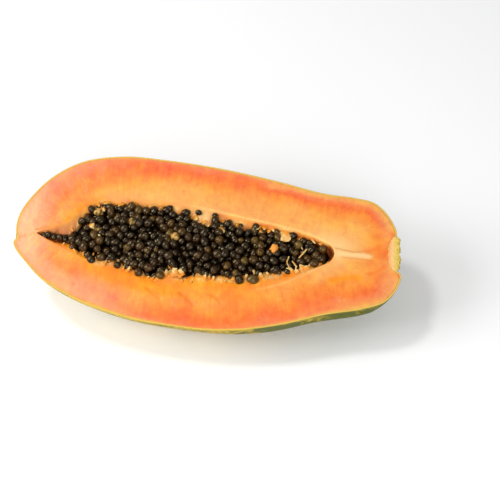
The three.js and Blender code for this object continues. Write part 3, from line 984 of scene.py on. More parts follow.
@dataclass
class CutFruit:
    """The flesh and the skin of the half, which together stand for the solid fruit_half."""

    form: FruitForm
    resting: Resting
    skin_thickness: float = 0.9
    stations: int = 400
    under_steps: int = 30
    face_steps: int = 42
    flare_steps: int = 8
    wall_steps: int = 24
    wall_lump: float = 3.2
    wall_flake: float = 2.1
    wall_unevenness: float = 0.7
    strand_upper: Pairs = ((220, 3.4), (225, 2.4), (232, 1.0), (238, 1.2))
    strand_lower: Pairs = ((225, -3.0), (231, -3.4), (246, -4.6))
    funnel_upper: Pairs = ((240, 2.2), (246, 3.6), (252.5, 6.6), (257.5, 8.8), (261.5, 11.3))
    funnel_lower: Pairs = ((244, -14.2), (249.5, -12), (254, -9), (257, -6.5))
    neck_arc: Pairs = ((218, -20.2), (226, -18), (237, -17))
    tail_fold: Pairs = ((15.5, 8.3), (22.5, 10.3), (30, 12.2), (37.5, 16.5), (42, 21))
    knife_arcs: tuple[Pairs, ...] = (
        ((94, -30), (97, -33), (103, -37)),
        ((115, -32), (120, -35), (126, -41)),
        ((135, -32), (140, -34), (145, -39.5)),
    )
    dimple_line: Pairs = ((2.5, 2), (9, 3.2), (16, 5.4))
    strand_line: Pairs = ((221, 0.2), (228, -0.8), (238, -1.4), (248, -2.2))
    lip_ridges: tuple[tuple[Side, float, float], ...] = ((Side.FAR, 0.45, 100.0), (Side.NEAR, 0.2, 155.0))
    inset: float = 0.85
    flesh_sunk: float = 0.12
    skin_sunk: tuple[float, float] = (0.18, 0.06)
    crest_share: float = 0.45
    crest_lift: float = 0.02
    skin_stations: int = 300
    skin_steps: int = 72
    red_spots: Patches = (
        (254.2, 0.4, 4.4, 0.75), (258.6, 15.2, 2.2, 0.5), (221.5, 11.3, 0.9, 0.35),
        (189.7, 22.4, 0.9, 0.3), (248, -13, 4.2, 0.4),
    )
    cream_patches: Patches = (
        (109.3, 26.6, 3, 2.4), (123.6, 25, 4, 2.6), (128.5, 22.4, 7, 5), (142.3, 18.4, 2.4, 2),
        (152, 18, 5, 2.6), (186, 13, 4.5, 4), (59.2, 29, 2.4, 1.8), (73.4, 28.4, 2.2, 2),
        (48, -6.4, 2.6, 1.8), (61.5, -13.2, 8, 2.4), (76, -15.6, 2.4, 1.6), (84, -17.4, 2.4, 1.8),
        (93, -17, 2.6, 2), (108, -18.4, 5, 3.4), (114, -20.6, 4.5, 3), (133, -22, 3, 1.6),
        (142, -22, 3, 1.6), (150, -21.6, 3, 1.6), (175, -18, 6, 2.4), (200, -12.4, 6, 3),
    )

    def outline(self) -> LineField:
        """Returns the whole outer edge of the cut face as one line."""
        shares = np.linspace(0, 1, OUTLINE_SAMPLES)
        far, near = self.form.edge(Side.FAR).at(shares), self.form.edge(Side.NEAR).at(shares)
        return LineField(np.concatenate([far, near[::-1]]))

    def lip_points(self, side: Side, shares: Points) -> Points:
        """Returns the points of the hollow's lip at these shares of its length."""
        even = (1 - np.cos(np.linspace(0, math.pi, FINE_SAMPLES))) / 2
        u = mix(self.form.hollow_start, self.form.hollow_end, even)
        line = np.stack([u, self.form.lip(side, u)], -1)
        line[0], line[-1] = self.form.tail_point, self.form.neck_point
        return by_length(line, shares)

    def lip_line(self, side: Side) -> LineField:
        """Returns the hollow's lip on one side as a line."""
        return LineField(self.lip_points(side, np.linspace(0, 1, LIP_SAMPLES)))

    def face_relief(self, places: Points) -> Points:
        """Works out how far the cut face stands above or below its plane.

        Args:
            places: Rows of [u, v] on the cut face.

        Returns:
            The height of each place, in millimetres.
        """
        flat = np.column_stack([places, np.zeros(len(places))])
        height = 0.16 * rough(flat, 7.0) + 0.06 * rough(flat, 2.2, 31.0)
        height += 0.55 * self.strand_share(places)
        for groove in line_marks(places, (
            (self.strand_upper, 0.12, 0.7), (self.strand_lower, 0.12, 0.7),
            (self.funnel_upper, 0.35, 0.9), (self.funnel_lower, 0.3, 1.1),
            (self.tail_fold, 0.5, 0.8), (self.dimple_line, 0.2, 0.8),
            *((arc, 0.4, 1.3) for arc in self.knife_arcs),
        )):
            height -= groove
        for side, tall, start in self.lip_ridges:
            height += tall * self.lip_line(side).mark(places, 1.0) * ease(places[:, 0], start, start + 30)
        return height

    def strand_share(self, places: Points) -> Points:
        """Returns 1 on the pale strand in the neck, fading to 0 beside it."""
        gap, along = LineField(self.strand_line).distance(places)
        ends = ease(along, 0.5, 4) * (1 - ease(along, 22, 27))
        return hump(gap, mix(2.4, 1.3, ease(along, 14, 27))) * ends

    def ledge(self, side: Side, shares: Points) -> Points:
        """Builds the cut face on one side, from the skin's inner edge to the lip.

        Args:
            side: Which side of the hollow.
            shares: Shares of the way from end to end.

        Returns:
            Rows of points for each share, without the two edges themselves.
        """
        outer = self.inner_skin(shares)[:, 0 if side is Side.FAR else -1, :2]
        inner = self.lip_points(side, shares)
        steps = (np.arange(1, self.face_steps) / self.face_steps)[None, :, None]
        flat = mix(outer[:, None, :], inner[:, None, :], steps)
        fade = np.clip(np.minimum(steps * 8, (1 - steps) * 30), None, 1)[..., 0]
        relief = self.face_relief(flat.reshape(-1, 2)).reshape(flat.shape[:2]) * fade
        return np.concatenate([flat, relief[..., None]], -1)

    def inner_skin(self, shares: Points) -> Points:
        """Returns the skin's points moved inwards, where the flesh meets it."""
        grid = self.form.skin(shares, np.linspace(0, math.pi, self.under_steps + 1))
        return grid + inward_normals(grid) * self.inset

    def hollow(self, shares: Points) -> Points:
        """Builds the hollow: down from the near lip, across its floor and up to the far lip.

        Args:
            shares: Shares of the way from end to end.

        Returns:
            Rows of points for each share.
        """
        flare = np.arange(self.flare_steps)[None, :] / self.flare_steps
        lips, beds, shoulders, slopes = {}, {}, {}, {}
        for side in Side:
            lips[side] = lip = self.lip_points(side, shares)
            beds[side] = bed = self.form.brink(side, lip[:, 0])[:, None]
            shoulders[side] = shoulder = self.form.shoulder(lip[:, :1])
            slopes[side] = np.stack([
                np.broadcast_to(lip[:, :1], (len(shares), self.flare_steps)),
                mix(lip[:, 1:], bed, flare),
                shoulder * flare**2,
            ], -1)
        turns = np.linspace(math.pi, 0, self.wall_steps + 1)[None, :]
        across = (1 - np.cos(turns)) / 2
        half = (beds[Side.FAR] - beds[Side.NEAR]) / 2
        floor = np.stack([
            mix(lips[Side.FAR][:, :1], lips[Side.NEAR][:, :1], across),
            (beds[Side.FAR] + beds[Side.NEAR]) / 2 + half * np.cos(turns),
            mix(shoulders[Side.FAR], shoulders[Side.NEAR], across)
            - half * self.form.hollow_roundness * np.sin(turns),
        ], -1)
        return np.concatenate([slopes[Side.NEAR], floor, slopes[Side.FAR][:, ::-1]], 1)

    def uneven(self, wall: Points) -> Points:
        """Returns the hollow's wall with soft lumps where it isn't at the lip."""
        flat = wall.reshape(-1, 3)
        deep = ease(-flat[:, 2], 0.1, 2.5)[:, None]
        uneven = rough_ways(flat, self.wall_lump, 7.0)
        uneven[:, 2] += 1.3 * rough(flat * [1.0, 0.25, 0.25], self.wall_flake, 50.0)
        return (flat + uneven * deep * self.wall_unevenness).reshape(wall.shape)

    def build_flesh(self) -> bpy.types.Object:
        """Builds the closed body of the flesh.

        Returns:
            The flesh object, with the masks that its finish reads.
        """
        shares = self.form.shares(self.stations)
        under = self.inner_skin(shares)
        under[:, 0, 2] = under[:, -1, 2] = -self.flesh_sunk
        near = self.ledge(Side.NEAR, shares)
        wall = self.uneven(self.hollow(shares))
        far = self.ledge(Side.FAR, shares)[:, ::-1]
        for row, end in ((0, self.form.tail_point), (-1, self.form.neck_point)):
            wall[row] = (*end, 0.0)
            near[row] = far[row, ::-1]
            under[row] = under[row, 0]
        sections = np.concatenate([under, near, wall, far], 1)
        made = self.resting.loft("papaya_flesh", sections, self.skin_thickness - 0.05)
        for name, values in FleshMap(self, self.resting.back(made)).masks().items():
            paint(made, name, values)
        return made

    def build_skin(self) -> bpy.types.Object:
        """Builds the thin closed shell of the skin.

        Returns:
            The skin object.
        """
        shares = self.form.shares(self.skin_stations)
        turns = np.linspace(0, math.pi, self.skin_steps + 1)
        outer = self.form.skin(shares, turns)
        inward = inward_normals(outer)
        inner = outer + inward * self.skin_thickness
        crest = outer + inward * self.skin_thickness * self.crest_share
        outer[:, 0, 2] = outer[:, -1, 2] = -self.skin_sunk[0]
        inner[:, 0, 2] = inner[:, -1, 2] = -self.skin_sunk[1]
        crest[:, :, 2] += self.crest_lift
        sections = np.concatenate([outer, crest[:, -1:], inner[:, ::-1], crest[:, :1]], 1)
        ring = sections.shape[1]
        skin_row = len(turns)
        for row in (0, -1):
            sections[row, :skin_row] = outer[row, 0]
            sections[row, skin_row] = sections[row, ring - 1] = crest[row, 0]
            sections[row, skin_row + 1 : ring - 1] = inner[row, 0]
        lifted = np.zeros(sections.shape[:2])
        lifted[:, skin_row + 1 : ring - 1] = self.skin_thickness
        made = self.resting.loft("papaya_skin", sections, lifted.ravel())
        spots = self.resting.back(made)
        rim = self.outline().distance(spots)[0]
        paint(made, "cut", ease(rim, -0.25, 0.25) * ease(spots[:, 2], -0.5, -0.15))
        paint(made, "ripe", mix(0.45, -0.45, ease(spots[:, 0], 120, 200)))
        return made

    def build(self) -> Iterator[bpy.types.Object]:
        """Builds and dresses the flesh and the skin."""
        for made, finish, slot in (
            (self.build_flesh(), FleshFinish(), "flesh"),
            (self.build_skin(), SkinFinish(), "skin"),
        ):
            yield hand_over(made, finish.material(), slot, "fruit_half")


class FleshMap:
    """Where the vertices of the flesh lie, and the masks that its finish reads.

    Spans that after() and before() take are in millimetres from the blossom end.
    """

    def __init__(self, fruit: CutFruit, spots: Points) -> None:
        """Measures the places.

        Args:
            fruit: The fruit whose flesh it is.
            spots: The vertices of the flesh, in the fruit's frame.
        """
        form = fruit.form
        self.fruit, self.spots = fruit, spots
        self.u, self.v, self.w = u, v, _ = spots.T
        self.rim, self.around = fruit.outline().distance(spots)
        far, near = form.lip(Side.FAR, u), form.lip(Side.NEAR, u)
        self.inside = (v < far) & (v > near) & (u > form.hollow_start) & (u < form.hollow_end)
        self.facing = ease(self.w, -2.5, -0.8) * ~self.inside
        self.farward = v > (far + near) / 2
        self.far_lip, self.near_lip = (fruit.lip_line(side).distance(spots)[0] for side in Side)
        self.lip_gap = np.minimum(self.far_lip, self.near_lip)
        lip, bed = self.by_side(far, near), self.by_side(*form.brinks(u))
        self.slope = np.clip(np.abs(v - lip) / np.maximum(np.abs(bed - lip), 0.4), 0, 1) * self.inside
        patches = (patch(u, v, (at_u, at_v), reach) for at_u, at_v, *reach in fruit.cream_patches)
        self.cream = np.clip(np.maximum.reduce([*patches]) * 1.3, 0, 1)

    def after(self, low: float, high: float) -> Points:
        """Returns a share that comes in along the fruit from low to high."""
        return ease(self.u, low, high)

    def before(self, low: float, high: float) -> Points:
        """Returns a share that goes out along the fruit from low to high."""
        return 1 - ease(self.u, low, high)

    def by_side(self, far: Any, near: Any) -> Points:
        """Returns one value for the far side of the hollow and another for the near side."""
        return np.where(self.farward, far, near)

    def depth(self) -> Points:
        """Returns the depth under the skin that the flesh's layers of colour follow."""
        filling = ease(self.u, 45, self.by_side(105, 95))
        coral = mix(self.by_side(0.62, 0.5), self.by_side(1.04, 0.86), filling)
        paler_far, redder_near = 0.2 * self.after(145, 175), -0.27 * self.after(118, 150)
        coral *= 1 + self.by_side(paler_far, redder_near) * self.before(212, 232)
        depth = np.where(self.rim > 1.2, 1.2 + (self.rim - 1.2) * coral, self.rim)
        for share, measured, shown in (
            (self.farward * self.after(155, 195),
             (0, 1, 2.4, 4.6, 8, 11, 90), (0, 0.5, 1.0, 1.5, 4.4, 10.6, 90)),
            (~self.farward * self.after(98, 114) * self.before(160, 174),
             (0, 1.2, 3, 90), (0, 2.2, 4.2, 90)),
            (~self.farward * self.after(204, 240),
             (0, 2.2, 5.6, 9.5, 90), (0, 1.0, 2.2, 8.8, 90)),
        ):
            depth = mix(depth, np.interp(depth, measured, shown), share)
        neck = self.after(226, 238) * (1 - ease(np.abs(self.v + 1), 9, 17))
        return mix(depth, np.maximum(depth, 17), neck)

    def tip(self) -> Points:
        """Returns the pink at the blossom end and along the rim near it."""
        tip = self.before(4, 34) * ease(self.rim, 0.5, 4) * 0.8
        pink = self.by_side(0.24 * self.before(30, 72), 0.42 * self.before(50, 105))
        reach = self.by_side(18, mix(16, 26, self.after(38, 58)))
        pink *= 1 - ease(self.rim, self.by_side(6, 9), reach)
        pink *= ease(self.rim, 0.8, 3.5)
        return np.maximum(tip, pink) * self.facing

    def wall(self) -> Points:
        """Returns the orange lining of the hollow's far wall."""
        slope = 0.9 * ease(self.slope, 0.06, 0.35) * self.after(118, 138)
        return np.maximum(ease(-self.w, 0.3, 2.0), slope) * self.inside * self.farward

    def painted_wall_shade(self) -> Points:
        """Returns the brown painted shade low on the slope where the seeds meet it, and on the wall at the
        hollow's stem end.
        """
        stem_end = self.after(213, 217) * ease(self.slope, 0.1, 0.5)
        far_low = 0.8 * self.farward * self.after(184, 200) * ease(self.slope, 0.5, 0.9)
        near_low = 0.4 * ~self.farward * ease(self.slope, 0.75, 1.0) * (1 - self.cream)
        return np.maximum.reduce([stem_end, far_low, near_low]) * self.inside

    def lip(self) -> Points:
        """Returns the paler flesh beside the hollow, in the neck and in the lobes."""
        neck = self.after(195, 215) * ease(-self.lip_gap, -14, -2)
        pale = hump(self.lip_gap, 5.0) * self.after(62, 92) * self.by_side(0.6, 0.25)
        lobes = 0.5 * self.after(243, 257) * ease(self.rim, 0.6, 2)
        return np.maximum.reduce([pale, neck * 0.85, lobes]) * ~self.inside

    def glow(self) -> Points:
        """Returns the deep orange round the hollow and in the neck."""
        near = hump(np.maximum(self.near_lip - 2.0, 0), 4.5) * self.after(34, 55)
        weaker = mix(0.95, 0.65, self.after(105, 125)) * (1 - 0.6 * self.after(152, 180))
        near *= weaker * self.before(185, 215)
        on_slope = mix(near, 0.95, ease(self.slope, 0.0, 0.6)) * self.after(20, 45) * self.before(190, 215)
        near = np.where(self.inside & ~self.farward, np.maximum(near, on_slope), near)
        tail = hump(self.far_lip, 3.0) * self.after(28, 38) * self.before(50, 66) * 0.9
        arc = 0.85 * LineField(self.fruit.neck_arc).mark(self.spots, 2.2)
        neck = 0.6 * patch(self.u, self.v, (249, 2.5), (7.5, 10))
        return np.clip(
            np.maximum.reduce([near * (~self.farward | self.inside), tail * self.farward, arc, neck]), 0, 1
        )

    def ridge(self) -> Points:
        """Returns the pale ridge along the hollow's lip, a painted highlight where light catches the
        ridge.
        """
        far = hump(self.far_lip, mix(0.8, 1.3, self.after(185, 212))) * self.after(105, 135) * 0.85
        return np.maximum(far, hump(self.near_lip, 0.7) * self.after(158, 180) * 0.4)

    def torn(self) -> Points:
        """Returns how ragged the lining is on the slope."""
        most = self.by_side(0.36 - 0.22 * self.after(150, 175), 0.46)
        return ease(self.slope, 0.1, 0.9) * self.after(24, 40) * most

    def crease(self) -> Points:
        """Returns darker colour painted along the fine creases of the cut face, as painted shade in them.
        """
        fruit = self.fruit
        return np.maximum.reduce(line_marks(self.spots, (
            (fruit.strand_upper, 0.6, 0.6), (fruit.strand_lower, 0.5, 0.5),
            (fruit.tail_fold, 0.4, 0.7), (fruit.dimple_line, 0.18, 0.7),
        ))) * self.facing

    def blush(self) -> Points:
        """Returns the red spots, the red along folds and knife marks, and the deep coral rim."""
        fruit = self.fruit
        spots = [
            depth * hump(np.hypot((self.u - at_u) * 1.3, self.v - at_v), size)
            for at_u, at_v, size, depth in fruit.red_spots
        ]
        folds = line_marks(self.spots, (
            (fruit.funnel_lower, 0.45, 1.8), (fruit.funnel_upper, 0.3, 1.6),
            *((arc, 0.3, 1.4) for arc in fruit.knife_arcs),
        ))
        deep_coral = hump(self.rim - 5.5, 5.5) * ease(self.rim, 0.4, 2.0)
        deep_coral *= self.after(98, 114) * self.before(160, 174)
        return np.maximum.reduce([*spots, *folds, 0.28 * deep_coral * (self.v < 0)]) * self.facing

    def pith(self) -> Points:
        """Returns the pale pith: the strand, the knob and collar before it and the heart of the stem."""
        u, v = self.u, self.v
        knob = hump(np.hypot((u - 222.2) * 1.7, v * 0.9), 5.4) * self.after(219.2, 220.6)
        knob *= 0.85 + 0.2 * rough(self.spots, 1.1)
        heart = self.after(255, 258.5) * (1 - ease(np.abs(v + 0.3), 5, 11.5))
        collar = hump(np.hypot((u - 217) * 0.5, v - 4), 8.5) * ease(v, -8, -1) * 0.8
        strand = self.fruit.strand_share(self.spots)
        return np.maximum.reduce([strand, knob, heart * 0.85, collar]) * self.facing

    def masks(self) -> dict[str, Points]:
        """Returns every mask, by the name under which the finish reads it."""
        return {
            "rim_mm": self.depth(),
            "grain": np.stack([self.around, self.rim, np.zeros(len(self.rim))], -1) * MM,
            # where the painted shade on the tail's far wall lies
            "shade": ease(self.slope, 0.05, 0.4) * self.farward * self.before(38, 50),
            "fringe": self.cream * self.inside,
            **{name: getattr(self, name)() for name in (
                "tip", "wall", "painted_wall_shade", "lip", "glow", "ridge", "torn", "crease", "blush", "pith",
            )},
        }


def hand_over(
    made: bpy.types.Object, material: bpy.types.Material, slot: str, node: str | None
) -> bpy.types.Object:
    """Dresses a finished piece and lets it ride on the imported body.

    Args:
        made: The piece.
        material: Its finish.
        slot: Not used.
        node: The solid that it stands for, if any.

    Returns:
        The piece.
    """
    made.data.materials.clear()
    made.data.materials.append(material)
    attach(made, "root")
    if node:
        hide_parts(node)
    LOG.info("%s: %d faces", made.name, len(made.data.polygons))
    return made


class Grower(Wiring):
    """Builds a Geometry Nodes tree that sets one shape at each point of a cloud."""

    def __init__(self, name: str, sizes: dict[str, float]) -> None:
        """Starts the tree.

        Args:
            name: The tree's name.
            sizes: Its named inputs and their values.
        """
        super().__init__(bpy.data.node_groups.new(name, "GeometryNodeTree"))
        self.sizes = sizes
        kinds = {"Geometry": "Geometry", **dict.fromkeys(sizes, "Float"), "Finish": "Material"}
        for label, kind in kinds.items():
            self.tree.interface.new_socket(label, in_out="INPUT", socket_type=f"NodeSocket{kind}")
        self.tree.interface.new_socket("Geometry", in_out="OUTPUT", socket_type="NodeSocketGeometry")
        self.given = self.tree.nodes.new("NodeGroupInput").outputs

    def named(self, name: str, kind: str = "FLOAT") -> Any:
        """Returns a value that each point of the cloud carries."""
        made = self.node("GeometryNodeInputNamedAttribute", {"Name": name}, data_type=kind)
        return next(s for s in made.outputs if s.enabled and s.name == "Attribute")

    def position(self) -> Any:
        """Returns where each point lies."""
        return self.take(0, "GeometryNodeInputPosition", {})

    def store(self, geometry: Any, name: str, value: Any) -> Any:
        """Returns the geometry with a number stored on each of its points."""
        inputs = {"Geometry": geometry, "Name": name, "Value": value}
        return self.take(0, "GeometryNodeStoreNamedAttribute", inputs, data_type="FLOAT")

    def scaled(self, geometry: Any, x: Any, y: Any, z: Any) -> Any:
        """Returns the geometry scaled along each axis."""
        size = self.take(0, "ShaderNodeCombineXYZ", {"X": x, "Y": y, "Z": z})
        return self.take(0, "GeometryNodeTransform", {"Geometry": geometry, "Scale": size})

    def lumps(self, geometry: Any, scale: Any, depth: Any) -> Any:
        """Returns the geometry with its surface pushed in and out by noise."""
        inputs = {"Vector": self.position(), "Scale": scale, "Detail": 2.0}
        wave = self.take("Fac", "ShaderNodeTexNoise", inputs)
        push = self.times(self.math("SUBTRACT", wave, 0.5), depth)
        normal = self.take(0, "GeometryNodeInputNormal", {})
        offset = self.take(0, "ShaderNodeVectorMath", {0: normal, "Scale": push}, operation="SCALE")
        return self.take(0, "GeometryNodeSetPosition", {"Geometry": geometry, "Offset": offset})

    def run(
        self, name: str, cloud: bpy.types.Object, shape: Any, material: bpy.types.Material
    ) -> bpy.types.Object:
        """Finishes the tree, runs it on a cloud and returns the plain mesh that it makes.

        Args:
            name: The new piece's name.
            cloud: The points, with the attributes turn, size and tone.
            shape: The socket that gives the shape at each point.
            material: The finish.

        Returns:
            The new object. The cloud is removed.
        """
        placed = self.take(0, "GeometryNodeInstanceOnPoints", {
            "Points": self.given["Geometry"],
            "Instance": shape,
            "Rotation": self.named("turn", "FLOAT_VECTOR"),
            "Scale": self.named("size", "FLOAT_VECTOR"),
        })
        real = self.take(0, "GeometryNodeRealizeInstances", {"Geometry": placed})
        uneven = self.lumps(real, self.given["Lump scale"], self.given["Lump depth"])
        smooth = self.take(0, "GeometryNodeSetShadeSmooth", {"Geometry": uneven})
        dressed = self.take(0, "GeometryNodeSetMaterial", {
            "Geometry": smooth, "Material": self.given["Finish"],
        })
        end = self.tree.nodes.new("NodeGroupOutput")
        self.tree.links.new(dressed, end.inputs[0])
        grown = cloud.modifiers.new(name, "NODES")
        grown.node_group = self.tree
        values = {**self.sizes, "Finish": material}
        for item in self.tree.interface.items_tree:
            if item.in_out == "INPUT" and item.name in values:
                grown[item.identifier] = values[item.name]
        bpy.context.view_layer.update()
        seen = cloud.evaluated_get(bpy.context.evaluated_depsgraph_get())
        mesh = bpy.data.meshes.new_from_object(seen)
        mesh.materials.clear()
        mesh.materials.append(material)
        mesh.polygons.foreach_set("material_index", [0] * len(mesh.polygons))
        cloud.modifiers.clear()
        bpy.data.objects.remove(cloud)
        mesh.name = name
        return linked(name, mesh)


def cloud_of(
    name: str, places: Points, turns: Points, sizes: Points, tones: Points
) -> bpy.types.Object:
    """Makes the cloud of points that a Grower sets shapes on.

    Args:
        name: The cloud's name.
        places: Places in metres.
        turns: Rotations, as angles about X, Y and Z.
        sizes: Scales along the shape's own axes.
        tones: A number from 0 to 1 for each, which the finish reads.

    Returns:
        The cloud object.
    """
    made = mesh_object(name, places, [])
    for label, values in (("turn", turns), ("size", sizes), ("tone", tones)):
        paint(made, label, values)
    return made


def angles_to(aims: Points, spin: Points) -> Points:
    """Returns the rotations that turn a shape's Z axis to each aim, after a spin about it."""
    turned = []
    for aim, twist in zip(aims, spin):
        towards = Vector(aim).to_track_quat("Z", "Y").to_matrix().to_4x4()
        from_spin = towards @ Matrix.Rotation(float(twist), 4, "Z")
        turned.append(tuple(from_spin.to_euler()))
    return np.array(turned)


@dataclass
class SeedMass:
    """The seeds in the hollow: those that show, a layer between them and a dark heap below, coloured
    partly as painted shade.

    Strays and openings are [u, v, size] rows. Lump scale and depth are in metres.
    """

    form: FruitForm
    resting: Resting
    count: int = 196
    length: float = 6.8
    spacing: float = 5.3
    girth: float = 0.88
    size_range: Span = (0.9, 1.1)
    girth_range: Span = (0.88, 1.06)
    length_range: Span = (0.92, 1.12)
    lump_scale: float = 320.0
    lump_depth: float = 0.0018
    facets: tuple[int, int] = (10, 7)
    tone_most: float = 0.82
    tone_power: float = 1.9
    pale_tones: Span = (0.93, 0.99)
    under_painted_shade: float = 0.45
    end_room: Span = (2.5, 8.2)
    stray_lift: float = 0.9
    stray_calm: float = 0.25
    far_reach: float = 0.7
    near_reach: float = -0.6
    shyness: float = 12.0
    rounds: int = 60
    lift: float = 2.4
    first: int = 20873
    widest_bed: Span = (-24.0, 32.0)
    strays: Places = (
        (20.2, 5.7, 0.55), (23.4, 4.8, 0.7), (27.2, 3.8, 0.85), (31.4, 3.2, 0.95), (54.5, -11.5, 1),
        (72.8, -15, 0.9), (87.5, -19.8, 0.95), (102.6, -21, 1), (156, -22, 1.15), (165.4, -21.2, 1.3),
        (105.4, 27.6, 0.85), (117, 24.6, 0.95), (125.6, 24.8, 0.7), (154.9, 17.1, 0.6),
        (137.5, 20.3, 1.1), (137.2, 23.2, 0.8), (146.5, 18, 1), (165.5, 16.8, 0.95), (180, 14, 0.9),
        (191, 12, 1), (211.6, 3, 1.1), (210.4, -3.4, 1.1),
    )
    pale_places: Pairs = ((60.9, 21.4), (53.3, 10.9), (79.3, 16.5), (111.8, 4.5))
    openings: Places = (
        (186, 9, 5), (191.5, -8, 4.5), (203.5, -10.5, 3.6), (197, -12, 3),
        (178.8, 1, 2.6), (64, 14.5, 3.6), (74, 2, 2.6), (98, 12, 2.6), (120.5, -6, 2.6),
        (133, 14.5, 3), (147, 4, 2.6), (165, -3, 2.6), (188, 1.5, 3.4), (209.5, 6.4, 2.2),
    )
    under_count: int = 230
    under_first: int = 7793
    under_drop: float = 3.3
    heap_drop: float = 4.2
    heap_stations: int = 90
    heap_inset: float = 3.0
    heap_gap: float = 0.5
    heap_sink: float = 0.4
    bowl_steps: int = 14
    top_steps: int = 21
    top_reach: float = 0.94

    def hold(self, seed: list[float]) -> None:
        """Keeps a seed's middle on the bed, the bigger ones further from its edges."""
        start, end = self.form.hollow_start + self.end_room[0], self.form.hollow_end - self.end_room[1]
        seed[0] = float(np.clip(seed[0], start, end))
        far, near = self.form.brinks(seed[0])
        shy = self.shyness * (seed[2] - self.size_range[0])
        middle = (far + near) / 2
        lowest = min(near + self.near_reach + shy, middle)
        highest = max(far - self.far_reach - shy, middle)
        seed[1] = float(min(max(seed[1], lowest), highest))

    def settle(self, seeds: list[list[float]]) -> None:
        """Pushes apart every two seeds that are nearer than the spacing."""
        for _ in range(self.rounds):
            for i, a in enumerate(seeds):
                for b in seeds[i + 1 :]:
                    du, dv = b[0] - a[0], b[1] - a[1]
                    room = self.spacing * (a[2] + b[2]) / 2
                    if abs(du) >= room or abs(dv) >= room:
                        continue
                    gap = math.hypot(du, dv)
                    if gap < room:
                        push = (room - gap) / 2 / max(gap, 0.01)
                        a[0], a[1] = a[0] - du * push, a[1] - dv * push
                        b[0], b[1] = b[0] + du * push, b[1] + dv * push
            for seed in seeds:
                self.hold(seed)

    def thrown(self, draw: Draw, count: int) -> list[list[float]]:
        """Returns seeds thrown on the bed at random and then settled."""
        seeds: list[list[float]] = []
        while len(seeds) < count:
            u = draw.between(self.form.hollow_start, self.form.hollow_end)
            v = draw.between(*self.widest_bed)
            far, near = self.form.brinks(u)
            if near < v < far:
                seeds.append([u, v, mix(*self.size_range, draw())])
        self.settle(seeds)
        return seeds

    def layer(self, first: int, count: int, drop: float, strays: Places) -> tuple[Points, Draw]:
        """Places one layer of seeds.

        Args:
            first: The first value of its draw.
            count: How many seeds are thrown.
            drop: How far the layer lies under the top one.
            strays: Seeds that lie out on the slope.

        Returns:
            Their middles in the fruit's frame, each with its size, and the draw.
        """
        draw = Draw(first)
        flat = np.array([*self.thrown(draw, count), *strays])
        if not drop:
            gaps = [np.hypot(flat[:, 0] - u, flat[:, 1] - v) - size for u, v, size in self.openings]
            flat = flat[np.minimum.reduce(gaps) > 0]
        across = self.form.across(flat[:, 0], flat[:, 1])
        lifts = np.array([(draw() - 0.5) * 2 * self.lift for _ in flat])
        thrown = len(flat) - len(strays)
        lifts[thrown:] = lifts[thrown:] * self.stray_calm + self.stray_lift
        heights = self.form.seed_level(flat[:, 0], across) + lifts - drop
        return np.column_stack([flat[:, :2], heights, flat[:, 2]]), draw

    def tones(self, places: Points, draw: Draw) -> Points:
        """Returns a tone for each seed: mostly black, some brown, pale at the pale places."""
        tones = np.array([self.tone_most * draw() ** self.tone_power for _ in places])
        for pale in self.pale_places:
            nearest = int(np.argmin(np.hypot(*(places[:, :2] - pale).T)))
            tones[nearest] = draw.between(*self.pale_tones)
        return tones

    def cloud(self) -> bpy.types.Object:
        """Makes the cloud of both layers of seeds, each with its turn, size and tone."""
        top, draw = self.layer(self.first, self.count, 0.0, self.strays)
        below, draw_below = self.layer(self.under_first, self.under_count, self.under_drop, ())
        places = np.concatenate([top, below])
        # the lower layer's tones are darkened as painted shade, since it lies deeper among the seeds
        tones = np.concatenate([self.tones(top, draw), self.tones(below, draw_below) * self.under_painted_shade])
        ranges = (self.girth_range, self.girth_range, self.length_range)
        sizes = places[:, 3:] * np.array([[draw.between(*span) for span in ranges] for _ in places])
        turns = np.array([[draw.between(0, math.tau) for _ in range(3)] for _ in places])
        return cloud_of("seed_cloud", self.resting.place(places[:, :3]), turns, sizes, tones)

    def build_seeds(self) -> bpy.types.Object:
        """Grows the seeds with Geometry Nodes."""
        grower = Grower("seed_grower", {
            "Length": self.length * MM, "Girth": self.girth,
            "Lump scale": self.lump_scale, "Lump depth": self.lump_depth,
        })
        segments, rings = self.facets
        ball = grower.take(0, "GeometryNodeMeshUVSphere", {
            "Segments": segments, "Rings": rings, "Radius": 0.5,
        })
        thick = grower.times(grower.given["Length"], grower.given["Girth"])
        egg = grower.scaled(ball, thick, thick, grower.given["Length"])
        return grower.run("papaya_seeds", self.cloud(), egg, SeedFinish().material())

    def build_heap(self) -> bpy.types.Object:
        """Builds the dark heap that closes the hollow under the seeds."""
        shares = np.linspace(0, 1, self.heap_stations + 1)
        u = mix(self.form.hollow_start + self.heap_inset, self.form.hollow_end - self.heap_inset, shares)
        far, near = self.form.brinks(u)
        rim = np.minimum(self.form.shoulder(u), self.form.level(u) - self.heap_drop)[:, None]
        half = np.maximum((far - near) / 2 - self.heap_gap, 0.05)[:, None]
        middle = ((far + near) / 2)[:, None]
        turns = np.linspace(math.pi, 0, self.bowl_steps + 1)[None, :]
        depth = half * (self.form.hollow_roundness - 0.04)
        across = np.linspace(self.top_reach, -self.top_reach, self.top_steps + 1)[None, :]
        u = u[:, None]
        parts = (
            (middle + half * np.cos(turns), rim - self.heap_sink - depth * np.sin(turns)),
            (middle + half * across, self.form.seed_level(u, across) - self.heap_drop),
        )
        bowl_and_top = [np.stack([np.broadcast_to(u, v.shape), v, w], -1) for v, w in parts]
        sections = np.concatenate(bowl_and_top, 1)
        for row in (0, -1):
            sections[row] = sections[row].mean(0)
        return self.resting.loft("papaya_seed_heap", sections)

    def build(self) -> Iterator[bpy.types.Object]:
        """Builds and dresses the seeds and the heap."""
        seeds = self.build_seeds()
        yield hand_over(seeds, seeds.data.materials[0], "seeds", "seed_mass")
        yield hand_over(self.build_heap(), HeapShadeFinish().material(), "seeds", "seed_mass")


